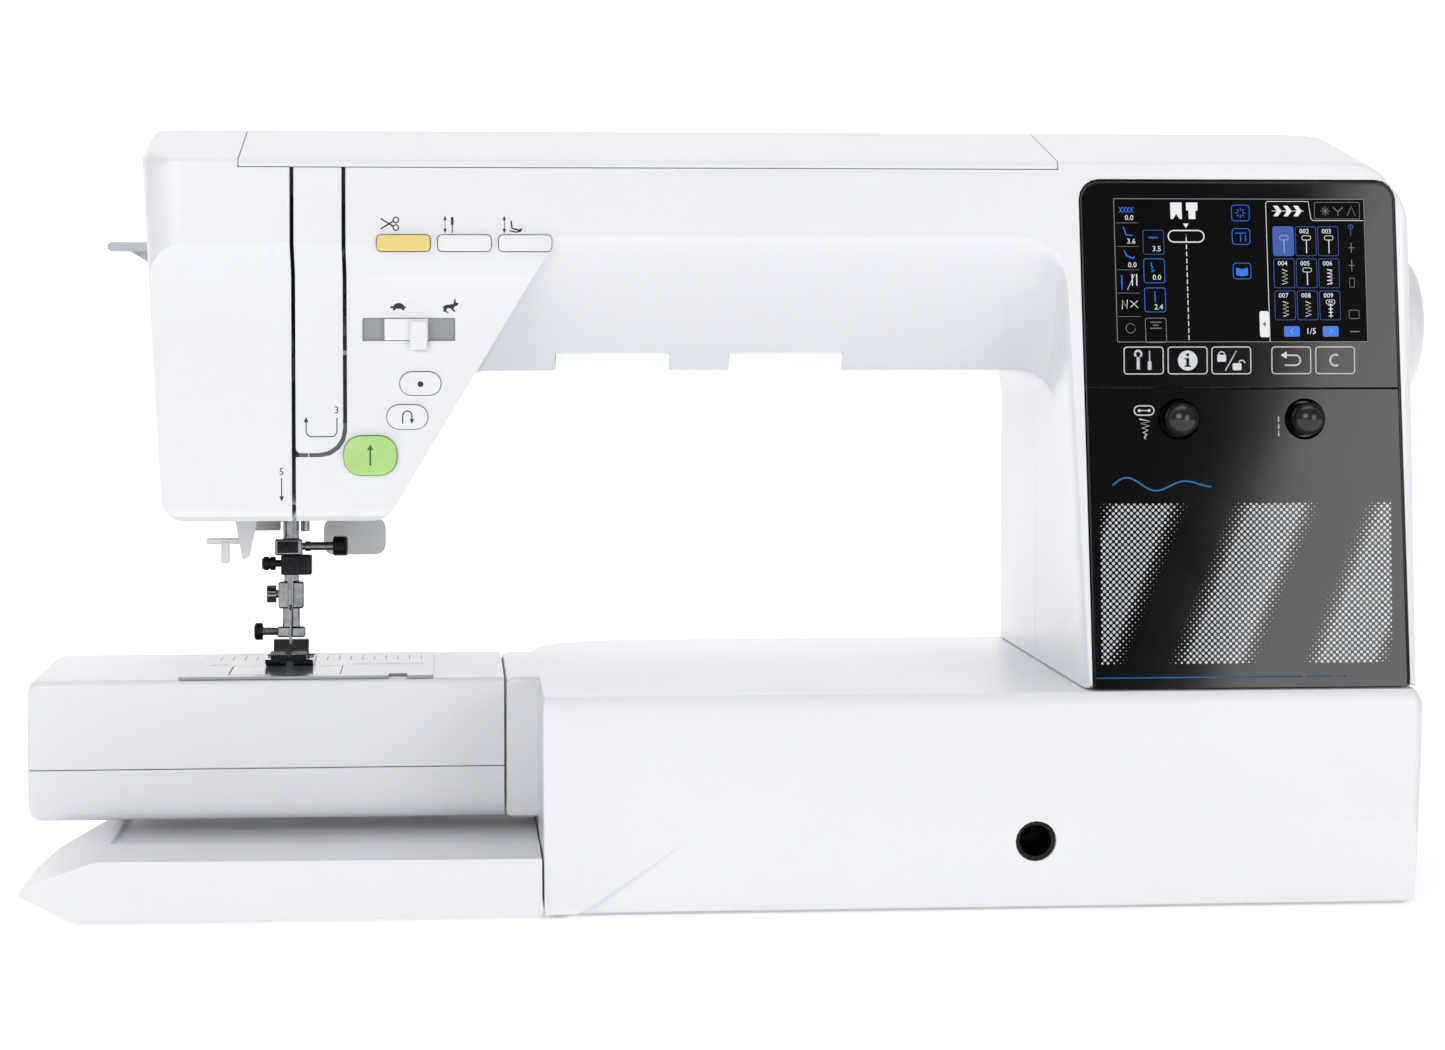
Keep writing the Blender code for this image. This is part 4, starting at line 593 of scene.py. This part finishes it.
def makePanelRim():
    # satin rim moulded round the edge of the glossy panel
    rim = {"left": 124.0, "right": 251.0, "top": 289.1, "low": 88.4, "radius": 7.2, "slant": 0.0217}
    corner = rim["radius"]
    outline = [(rim["left"], rim["low"])]
    outline += arc(rim["left"] + corner, rim["top"] - corner, corner, 180, 90, 8)
    outline += arc(rim["right"] - corner, rim["top"] - corner, corner, 90, 0, 8)
    outline.append((rim["right"], rim["low"]))
    outline = [(u + rim["slant"] * (rim["top"] - v), v) for u, v in outline]
    layOnPanel("panelRimSatin", [(outline, 1.1, False)], [], knobBlack, 0.14)


# flat marks: strokes and filled shapes, drawn as curves and laid on a face
faceLean = 0.0613  # how far the arm's front leans back for each metre of height
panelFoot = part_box("lower_panel")[0]
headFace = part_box("lock_stitch_button")[0].y + 0.8 * mm
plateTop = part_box("needle_plate")[1].z


def uprightPlane(yAtZero, lean=0.0):
    return Matrix(((1, 0, 0, 0), (0, lean, -1, yAtZero), (0, 1, 0, 0), (0, 0, 0, 1)))


panelPlane = uprightPlane(panelFoot.y - faceLean * panelFoot.z, faceLean)
upperPlane = uprightPlane(panelFoot.y - faceLean * panelFoot.z - 0.2 * mm, faceLean)
headPlane = uprightPlane(headFace)
platePlane = Matrix.Translation((0, 0, plateTop))


def arc(u, v, radius, start, end, steps=8):
    turns = [radians(start + (end - start) * i / steps) for i in range(steps + 1)]
    return [(u + radius * cos(turn), v + radius * sin(turn)) for turn in turns]


def roundBox(left, low, right, high, radius, steps=4):
    corners = ((right - radius, high - radius, 0), (left + radius, high - radius, 90),
               (left + radius, low + radius, 180), (right - radius, low + radius, 270))
    return [point for u, v, turn in corners for point in arc(u, v, radius, turn, turn + 90, steps)]


def moved(points, u, v, scale=1.0):
    return [(u + x * scale, v + y * scale) for x, y in points]


def layMarks(name, strokes, fills, plane, material, body="root", rise=0.05):
    # a stroke is (points, width, closed) and a fill is a closed outline, all in millimetres
    halves = []
    if strokes:
        curve = bpy.data.curves.new(name + "Lines", "CURVE")
        curve.dimensions = "3D"
        curve.twist_mode = "Z_UP"
        curve.bevel_depth = 1.0
        curve.bevel_resolution = 0
        curve.use_fill_caps = True
        for points, width, closed in strokes:
            spline = curve.splines.new("POLY")
            spline.points.add(len(points) - 1)
            spline.use_cyclic_u = closed
            for spot, (u, v) in zip(spline.points, points):
                spot.co = (u * mm, v * mm, 0, 1)
                spot.radius = width * mm / 2
        halves.append(curve)
    if fills:
        curve = bpy.data.curves.new(name + "Fills", "CURVE")
        curve.dimensions = "2D"
        curve.fill_mode = "BOTH"
        curve.extrude = rise * mm
        for points in fills:
            spline = curve.splines.new("POLY")
            spline.points.add(len(points) - 1)
            spline.use_cyclic_u = True
            for spot, (u, v) in zip(spline.points, points):
                spot.co = (u * mm, v * mm, 0, 1)
        halves.append(curve)
    pieces = []
    for curve in halves:
        item = bpy.data.objects.new(curve.name, curve)
        bpy.context.scene.collection.objects.link(item)
        activate(item)
        bpy.ops.object.convert(target="MESH")
        for vertex in item.data.vertices:
            vertex.co.z = max(-rise * mm, min(rise * mm, vertex.co.z))
        pieces.append(item)
    return joinOnPlane(name, pieces, plane, material, body)


def joinOnPlane(name, pieces, plane, material, body):
    deselectAll()
    for item in pieces:
        item.select_set(True)
    bpy.context.view_layer.objects.active = pieces[0]
    if len(pieces) > 1:
        bpy.ops.object.join()
    piece = pieces[0]
    piece.data.transform(plane)
    bpy.ops.object.mode_set(mode="EDIT")
    bpy.ops.mesh.select_all(action="SELECT")
    bpy.ops.mesh.remove_doubles(threshold=0.000001)
    bpy.ops.mesh.normals_make_consistent(inside=False)
    bpy.ops.object.mode_set(mode="OBJECT")
    return finishPiece(piece, name, body, material, angle=0)


def layNumbers(name, words, plane, material, body="root"):
    pieces = []
    for text, u, v, height in words:
        deselectAll()
        bpy.ops.object.text_add()
        item = bpy.context.object
        item.data.body = text
        item.data.size = height * 1.4 * mm
        item.data.align_x = "CENTER"
        item.data.align_y = "CENTER"
        item.data.extrude = 0.05 * mm
        item.data.resolution_u = 2
        item.location = (u * mm, v * mm, 0)
        bpy.ops.object.convert(target="MESH")
        bpy.ops.object.transform_apply(location=True, rotation=True, scale=True)
        pieces.append(item)
    return joinOnPlane(name, pieces, plane, material, body)


def layOnPanel(name, strokes, fills, material, rise=0.05):
    return layMarks(name, strokes, fills, panelPlane, material, rise=rise)


# touch screen: a lit picture of stitch tiles, drawn as a generic one
screen = {"left": 137.4, "top": 282.4, "width": 101.6, "height": 57.0, "skew": 0.02}


def onScreen(points):
    return [(screen["left"] + u + screen["skew"] * v, screen["top"] - v) for u, v in points]


def tile(u, v, width, height, radius=0.8):
    return onScreen(roundBox(u, v, u + width, v + height, radius, 3))


def stroke(group, points, width):
    group.append((points, width, False))


def draw(group, points, width):
    stroke(group, onScreen(points), width)


def makeScreen():
    white, blue, deep, grey = [], [], [], []
    whiteFill, blueFill, deepFill = [], [], []
    wholeScreen = tile(0, 0, screen["width"], screen["height"], 0.3)
    layOnPanel("screenPicture", [], [wholeScreen], screenBlack, 0.03)
    grey.append((wholeScreen, 0.45, True))
    for v in (9.6, 19.0, 28.3, 37.6, 46.9):  # column of settings at the left
        draw(grey, [(0.6, v), (9.6, v)], 0.30)
    for side in (1, -1):
        draw(blue, [(2.0 + 0.5 * i, 4.4 + side * 1.1 * cos(i * 1.1)) for i in range(13)], 0.5)
    draw(blue, [(3.6, 11.2), (4.6, 14.4), (7.4, 14.6)], 0.8)
    draw(blue, [(3.6, 20.6), (4.6, 22.6), (7.0, 23.8), (7.8, 23.0)], 1.0)
    draw(blue, [(2.4, 30.4), (2.4, 36.0)], 0.9)
    draw(white, [(4.6, 36.2), (7.6, 30.0)], 0.30)
    draw(white, [(6.6, 30.0), (6.6, 34.6)], 0.7)
    draw(white, [(8.4, 30.0), (8.4, 34.6)], 0.7)
    draw(white, [(2.2, 44.0), (2.4, 40.4), (4.2, 43.8), (4.4, 40.2)], 0.5)
    draw(white, [(5.6, 40.6), (8.6, 43.4)], 0.4)
    draw(white, [(5.6, 43.2), (8.6, 40.6)], 0.4)
    draw(grey, arc(5.4, 51.6, 1.9, 0, 330, 12), 0.4)
    for v, colour in ((12.5, deep), (23.9, blue), (35.5, blue), (47.6, grey)):  # stitch size tiles
        colour.append((tile(11.4, v, 8.4, 9.6), 0.45, True))
    draw(deep, [(13.6, 15.4), (17.6, 15.4)], 1.4)
    draw(blue, [(14.4 + 0.25 * i * (1 if i % 2 else 0), 25.4 + i * 0.62) for i in range(7)], 0.9)
    draw(blue, [(15.6, 36.8), (15.6, 41.4)], 0.7)
    for u0, u1, v in ((13.4, 17.8, 49.2), (14.4, 16.8, 50.4), (13.4, 17.8, 51.6)):
        draw(grey, [(u0, v), (u1, v)], 0.8)
    whiteFill.append(onScreen([(22.8, 1.4), (27.4, 1.4), (27.4, 8.0), (26.4, 8.0), (25.1, 6.0), (23.8, 8.0),
                               (22.8, 8.0)]))
    whiteFill.append(onScreen([(29.2, 1.4), (33.8, 1.4), (33.8, 4.6), (32.9, 4.6), (32.9, 8.0), (30.1, 8.0),
                               (30.1, 4.6), (29.2, 4.6)]))
    whiteFill.append(onScreen([(27.8, 9.8), (30.0, 9.8), (28.9, 11.6)]))
    white.append((tile(21.6, 12.6, 14.6, 4.6, 2.25), 0.75, True))
    for i in range(15):  # the sewn line, dash by dash
        v = 15.4 + i * 2.78
        draw(white, [(28.9, v), (28.9, v + 1.95)], 0.55)
    for v in (2.4, 11.8, 25.6):  # three tiles in the middle
        blue.append((tile(47.6, v, 7.2, 6.3, 1.2), 0.45, True))
    for i in range(8):
        turn = i * pi / 4
        draw(blue, [(51.2 + reach * cos(turn), 5.5 + reach * sin(turn)) for reach in (0.9, 2.0)], 0.55)
    draw(blue, [(48.9, 13.6), (53.4, 13.6)], 0.5)
    draw(blue, [(51.0, 14.0), (51.0, 17.0)], 0.6)
    draw(blue, [(53.0, 14.4), (53.0, 16.8)], 0.6)
    blueFill.append(onScreen([(48.8, 27.4), (51.2, 28.0), (53.6, 27.4), (53.6, 30.4), (51.2, 30.9),
                              (48.8, 30.4)]))
    draw(white, [(61.8, 57.0), (61.6, 1.6), (62.2, 0.9), (79.0, 0.9), (79.8, 7.6), (80.5, 8.5),
                 (101.2, 8.5)], 0.40)
    for u in (64.6, 68.7, 72.8):  # leaf stitch on the front tab
        whiteFill.append(onScreen([(u, 2.6), (u + 1.8, 2.6), (u + 3.4, 4.7), (u + 1.8, 6.8), (u, 6.8),
                                   (u + 1.5, 4.7)]))
    draw(white, [(64.0, 4.7), (77.0, 4.7)], 0.35)
    grey.append((tile(81.4, 1.2, 18.4, 6.6, 0.4), 0.35, True))
    for i in range(4):
        turn = i * pi / 4
        draw(grey, [(85.8 + reach * cos(turn), 4.7 + reach * sin(turn)) for reach in (-1.9, 1.9)], 0.45)
    draw(grey, [(89.0, 3.2), (91.0, 4.9), (93.0, 3.2)], 0.7)
    draw(grey, [(91.0, 4.9), (91.0, 6.6)], 0.5)
    draw(grey, [(94.8, 6.6), (96.4, 2.8), (98.0, 6.6)], 0.5)
    numbers = []
    for row in range(3):  # nine stitches
        for column in range(3):
            u = 64.2 + 9.15 * column
            v = 11.0 + 12.85 * row
            if row == column == 0:
                deepFill.append(tile(u, v, 8.3, 11.6))
            edge = blue if row == column == 0 else deep
            edge.append((tile(u, v, 8.3, 11.6), 0.45, True))
            numbers.append((f"00{row * 3 + column + 1}", *onScreen([(u + 3.6, v + 1.9)])[0], 1.9))
            middle = u + 4.4
            if column != 1 and row == 1 or row == 2 and column < 2:
                points = [(middle + (1.1 if i % 2 else -1.1), v + 4.2 + i * 0.75) for i in range(9)]
                draw(white, points, 0.5)
            else:
                draw(white, [(middle, v + 5.4), (middle, v + 10.6)], 0.55)
                white.append((tile(middle - 1.8, v + 3.6, 3.6, 1.7, 0.8), 0.35, True))
            if column == 2 and row > 0:
                for i in range(5):
                    rung = v + 4.4 + i * 1.4
                    draw(white, [(middle - 0.9, rung), (middle + 0.9, rung)], 0.5)
    for u, side in ((67.6, -1), (83.4, 1)):  # page keys
        blueFill.append(tile(u, 50.8, 6.4, 4.2, 0.6))
        middle = u + 3.2
        back = middle - side * 0.5
        draw(white, [(back, 51.9), (middle + side * 0.7, 52.9), (back, 53.9)], 0.7)
    numbers.append(("1/5", *onScreen([(78.6, 52.9)])[0], 2.4))
    draw(deep, [(96.0, 10.6), (96.0, 14.6)], 0.6)
    draw(deep, arc(96.0, 11.0, 0.9, 0, 360, 10), 0.6)
    for v, length in ((17.4, 4.0), (24.2, 4.6)):
        draw(grey, [(96.0, v), (96.0, v + length)], 0.6)
        draw(grey, [(94.8, v + length / 2), (97.2, v + length / 2)], 0.5)
    grey.append((tile(94.9, 31.6, 2.0, 3.6, 0.2), 0.35, True))
    grey.append((tile(94.4, 44.4, 4.0, 3.4, 0.4), 0.40, True))
    draw(grey, [(94.6, 53.0), (98.4, 53.0)], 0.9)
    whiteFill.append(tile(57.8, 44.8, 3.8, 10.4, 0.8))
    for text, u, v in (("0.0", 6.0, 7.6), ("3.6", 6.6, 17.0), ("0.0", 6.8, 26.4), ("3.5", 16.8, 20.0),
                       ("0.0", 16.6, 31.4), ("2.4", 17.0, 43.2)):
        numbers.append((text, *onScreen([(u, v)])[0], 2.1))
    layOnPanel("screenWhiteMarks", white, whiteFill, lcdWhite, 0.08)
    layOnPanel("screenBlueMarks", blue, blueFill, lcdBlue, 0.07)
    layOnPanel("screenDeepMarks", deep, deepFill, lcdDeep, 0.06)
    layOnPanel("screenGreyMarks", grey, [], lcdGrey, 0.065)
    layOnPanel("screenRedMark", [(onScreen([(28.9, 14.0), (28.9, 15.4)]), 0.6, False)], [], lcdRed, 0.09)
    layOnPanel("screenTabArrow", [], [onScreen([(59.0, 50.0), (60.2, 48.9), (60.2, 51.1)])], lcdDeep, 0.09)
    layNumbers("screenNumbers", numbers, panelPlane, lcdWhite)


def makePanelPrint():
    # five touch keys with line symbols, and the marks beside the two knobs
    low, high = 212.6, 223.3
    lines, fills = [], []
    for left in (141.1, 158.9, 176.6, 201.0, 218.9):
        lines.append((roundBox(left, low, left + 15.8, high, 1.2), 0.50, True))
    stroke(lines, [(146.8, 214.4), (146.8, 219.4)], 1.5)
    stroke(lines, arc(146.8, 220.6, 1.3, -50, 230, 10), 0.9)
    stroke(lines, [(151.4, 214.2), (151.4, 217.6)], 1.7)
    stroke(lines, [(151.4, 217.6), (151.4, 221.8)], 0.6)
    fills.append(arc(166.8, 217.9, 4.0, 0, 345, 22))
    fills.append(arc(166.8, 220.2, 0.65, 0, 330, 10))
    fills.append([(165.5, 215.4), (168.1, 215.4), (168.1, 216.0), (167.4, 216.0), (167.4, 218.9),
                  (165.5, 218.9), (165.5, 218.3), (166.2, 218.3), (166.2, 216.0), (165.5, 216.0)])
    fills.append(roundBox(178.8, 217.4, 182.4, 220.2, 0.4))
    stroke(lines, arc(180.6, 220.2, 1.2, 0, 180, 8), 0.55)
    stroke(lines, [(182.0, 213.8), (186.6, 221.8)], 0.5)
    fills.append(roundBox(185.0, 214.0, 188.6, 216.8, 0.4))
    stroke(lines, arc(188.8, 216.8, 1.2, 0, 180, 8), 0.55)
    backArrow = [(206.6, 220.0), (210.6, 220.0)] + arc(210.6, 218.0, 2.0, 90, -90, 8) + [(206.2, 216.0)]
    stroke(lines, backArrow, 0.75)
    fills.append([(204.6, 220.0), (207.0, 218.5), (207.0, 221.5)])
    stroke(lines, arc(226.9, 218.0, 2.2, 60, 300, 12), 0.9)
    lines.append((roundBox(145.0, 196.2, 153.0, 199.9, 1.8), 0.60, True))
    stroke(lines, [(147.0, 198.05), (151.0, 198.05)], 0.45)
    fills += [arc(147.0, 198.05, 0.6, 0, 330, 8), arc(151.0, 198.05, 0.6, 0, 330, 8)]
    zigzag = [(149.4 + (2.4 - 0.26 * i) * (1 if i % 2 else -1), 194.6 - 0.88 * i) for i in range(10)]
    stroke(lines, zigzag, 0.60)
    for top in (195.6, 192.7, 189.8):
        stroke(lines, [(203.5, top), (203.5, top - 2.2)], 0.55)
    layOnPanel("panelPrintWhite", lines, fills, inkWhite)
    blue = [([(128.9, 91.9), (212.0, 91.9)], 0.55, False), ([(214.0, 91.9), (224.0, 91.9)], 0.55, False),
            ([(226.0, 91.9), (230.0, 91.9)], 0.55, False)]
    swash = [(136.0 + 2.1 * i, 168.4 + 3.4 * sin(i * 0.55) * (1 - i / 26)) for i in range(20)]
    stroke(blue, swash, 0.75)
    layOnPanel("panelPrintBlue", blue, [], inkBlue)


def makeHeadPrint():
    upper, upperFill = [], []  # above the keys: scissors, needle up and down, foot up and down
    stroke(upper, [(-153.6, 274.0), (-148.6, 270.9)], 0.55)
    stroke(upper, [(-153.6, 269.8), (-148.6, 272.9)], 0.55)
    upper.append((arc(-147.6, 273.4, 1.1, 0, 360, 12), 0.50, True))
    upper.append((arc(-147.6, 270.4, 1.1, 0, 360, 12), 0.50, True))
    for u in (-128.4, -105.2):
        stroke(upper, [(u, 269.4), (u, 274.0)], 0.30)
        upperFill.append([(u - 0.7, 273.4), (u + 0.7, 273.4), (u, 275.2)])
        upperFill.append([(u - 0.7, 270.0), (u + 0.7, 270.0), (u, 268.2)])
    stroke(upper, [(-125.6, 274.6), (-125.6, 271.6)], 1.0)
    stroke(upper, [(-125.6, 271.6), (-125.6, 268.4)], 0.45)
    stroke(upper, [(-102.6, 273.2), (-102.2, 270.2), (-99.4, 269.4), (-98.2, 270.0)], 0.65)
    stroke(upper, [(-103.2, 269.3), (-100.6, 268.7), (-98.4, 269.2)], 0.50)
    layMarks("keySymbols", upper, upperFill, upperPlane, inkBlack)
    tortoise = [(-3.4, 0.0), (-3.2, 0.6), (-2.2, 0.6), (-1.4, 1.5), (0.0, 2.0), (1.5, 1.5), (2.4, 0.5),
                (3.4, 0.3), (2.4, -0.2), (2.2, -1.0), (1.4, -1.0), (1.2, -0.4), (-1.2, -0.4), (-1.4, -1.1),
                (-2.2, -1.1), (-2.2, -0.3)]
    hare = [(-3.2, -0.4), (-2.2, 0.6), (-0.2, 0.9), (1.2, 1.1), (1.5, 2.9), (2.1, 3.0), (2.1, 1.7),
            (3.3, 1.4), (2.8, 0.5), (1.7, 0.1), (1.2, -0.8), (2.1, -1.9), (1.3, -2.0), (0.3, -0.8),
            (-1.0, -0.5), (-1.8, -1.6), (-0.6, -2.2), (-0.9, -2.5), (-2.9, -1.8), (-2.6, -0.6)]
    lines = [([(-171.2, 195.6), (-171.2, 190.3)] + arc(-173.4, 190.3, 2.2, 0, -90, 5) + [(-181.0, 188.1)]
              + arc(-181.0, 190.4, 2.3, -90, -180, 5) + [(-183.3, 194.0)], 0.42, False),
             ([(-193.0, 171.8), (-193.0, 164.0)], 0.42, False)]
    fills = [moved(tortoise, -146.8, 239.0), moved(hare, -126.4, 239.4)]
    fills.append([(-184.2, 193.8), (-182.4, 193.8), (-183.3, 196.0)])
    fills.append([(-193.9, 164.6), (-192.1, 164.6), (-193.0, 162.4)])
    layMarks("headPrint", lines, fills, headPlane, inkBlack)
    layNumbers("headNumbers", [("3", -171.3, 198.5, 2.9), ("5", -193.0, 174.2, 2.9)], headPlane, inkBlack)
    turnBack = [(-1.8, -2.6), (-1.8, 0.6)] + arc(0.0, 0.6, 1.8, 180, 0, 8) + [(1.8, -1.0)]
    faces = {"lock_stitch_button": ([], [arc(0, -0.2, 1.15, 0, 345, 16)]),
             "reverse_button": ([(turnBack, 0.5, False)], [[(0.9, -0.8), (2.7, -0.8), (1.8, -2.7)]]),
             "start_stop_button": ([([(0, -3.8), (0, 2.6)], 0.65, False)],
                                   [[(-1.3, 2.2), (1.3, 2.2), (0, 4.4)]])}
    for node, (strokes, outlines) in faces.items():
        low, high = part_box(node)
        u, v = (low.x + high.x) / 2 / mm, (low.z + high.z) / 2 / mm
        strokes = [(moved(points, u, v), width, closed) for points, width, closed in strokes]
        outlines = [moved(points, u, v) for points in outlines]
        ink = inkGreen if node == "start_stop_button" else inkBlack
        layMarks(node + "Symbol", strokes, outlines, uprightPlane(low.y), ink, body=bodyOf[node])


def makePlateMarks():
    # seam guide lines, cut into the plate and filled dark
    low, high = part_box("needle_plate")
    left, right = low.x / mm, high.x / mm
    middle = -194.3
    lines = []
    for i in range(-6, 12):
        u = middle + i * 5.0
        if left + 12 < u < right - 2 and abs(i) > 1:
            reach = 26.0 if i % 2 else 30.0
            stroke(lines, [(u, 10.0), (u, reach)], 0.28)
    for side in (1, -1):
        stroke(lines, [(middle + side * 14, 33.0), (middle + side * 24, 33.0)], 0.28)
    for v in (-8.5, -5.5):
        stroke(lines, [(middle + 26, v), (right - 4, v)], 0.25)
        stroke(lines, [(middle - 26, v), (left + 10, v)], 0.25)
    layMarks("plateGuideLines", lines, [], platePlane, engraved, rise=0.03)


makeKnobs()
makeHandwheel()
makeNeedleParts()
makeSliderChannel()
makePanelRim()
makeScreen()
makePanelPrint()
makeHeadPrint()
makePlateMarks()
print("marks and screen laid on")


# stage, lights and camera
def makeStage():
    stage = {"width": 9.0, "depth": 7.0, "front": 3.2, "wallHeight": 4.0, "curve": 1.2}
    deselectAll()
    bpy.ops.mesh.primitive_plane_add(size=1, location=(0, stage["depth"] / 2 - stage["front"], 0))
    floor = bpy.context.object
    floor.scale = (stage["width"], stage["depth"], 1)
    bpy.ops.object.transform_apply(location=True, rotation=True, scale=True)
    bpy.ops.object.mode_set(mode="EDIT")
    bpy.ops.mesh.select_all(action="DESELECT")
    bpy.ops.object.mode_set(mode="OBJECT")
    back = max(v.co.y for v in floor.data.vertices)
    for edge in floor.data.edges:
        edge.select = all(floor.data.vertices[i].co.y > back - 0.01 for i in edge.vertices)
    bpy.ops.object.mode_set(mode="EDIT")
    bpy.ops.mesh.select_mode(type="EDGE")
    bpy.ops.mesh.extrude_region_move(TRANSFORM_OT_translate={"value": (0, 0, stage["wallHeight"])})
    bpy.ops.object.mode_set(mode="OBJECT")
    bend = floor.modifiers.new("coveCurve", "BEVEL")
    bend.width = stage["curve"]
    bend.segments = 16
    applyModifiers(floor)
    bpy.ops.object.shade_smooth()
    material, tree, shader, place = startMaterial("studioPaper", "F4F4F5", 0.9)
    varyColour(tree, shader, place, "F4F4F5", "F0F0F2", 400, 0.5)
    shader.inputs["Emission Color"].default_value = linear("FFFFFF")
    parts = addNode(tree, "ShaderNodeSeparateXYZ", links={0: place})
    glow = addNode(tree, "ShaderNodeMapRange", values={1: 0.1, 2: 0.9, 3: 0.34, 4: 0.75},
                   links={0: parts.outputs[1]})
    tree.links.new(glow.outputs[0], shader.inputs["Emission Strength"])
    floor.data.materials.append(material)
    floor.name = "studioFloor"


def makeWorld():
    # white behind and above, dark in front, so that the black panel has something dark to mirror
    world = bpy.data.worlds.new("studioWorld")
    world.use_nodes = True
    tree = world.node_tree
    sky = tree.nodes["Background"]
    place = addNode(tree, "ShaderNodeTexCoord").outputs["Generated"]
    parts = addNode(tree, "ShaderNodeSeparateXYZ", links={0: place})
    behind = addNode(tree, "ShaderNodeMapRange", values={1: -0.6, 2: 0.6, 3: 0.08, 4: 0.48},
                     links={0: parts.outputs[1]})
    above = addNode(tree, "ShaderNodeMapRange", values={1: 0.1, 2: 0.9, 3: 0.0, 4: 0.15},
                    links={0: parts.outputs[2]})
    total = addNode(tree, "ShaderNodeMath", links={0: behind.outputs[0], 1: above.outputs[0]},
                    operation="ADD")
    tree.links.new(total.outputs[0], sky.inputs["Strength"])
    sky.inputs["Color"].default_value = linear("FBFCFF")
    bpy.context.scene.world = world


def makeLight(name, place, target, width, height, power, turn=0.0):
    deselectAll()
    bpy.ops.object.light_add(type="AREA", location=place)
    lamp = bpy.context.object
    lamp.name = name
    lamp.data.shape = "RECTANGLE"
    lamp.data.size = width
    lamp.data.size_y = height
    lamp.data.energy = power
    aim = (Vector(target) - Vector(place)).to_track_quat("-Z", "Y")
    lamp.rotation_euler = (aim.to_matrix() @ Matrix.Rotation(turn, 3, "Z")).to_euler()
    return lamp


def makeCamera():
    view = {"place": (-0.1266, -1.4065, 0.2420), "yaw": 4.72, "pitch": 1.95, "lensMm": 82.2145,
            "sensorMm": 36, "shift": -0.0778547}
    bpy.ops.object.camera_add(location=view["place"])
    camera = bpy.context.object
    camera.rotation_euler = (radians(90 - view["pitch"]), 0, radians(-view["yaw"]))
    camera.data.sensor_width = view["sensorMm"]
    camera.data.lens = view["lensMm"]
    camera.data.shift_y = view["shift"]
    camera.data.clip_start = 0.05
    camera.data.clip_end = 50
    bpy.context.scene.camera = camera


makeStage()
makeWorld()
makeLight("keyLeft", (-1.1, -2.2, 1.15), (-0.15, 0.0, 0.08), 1.4, 1.2, 22)
makeLight("fillRight", (1.22, -2.05, 0.52), (0.1, -0.1, 0.2), 0.90, 1.3, 13, radians(-19))
makeLight("topSoft", (0.0, 0.2, 2.4), (0.0, 0.0, 0.2), 2.2, 1.6, 17)
makeCamera()
bpy.context.scene.view_settings.view_transform = "Standard"
print("stage, lights and camera ready")
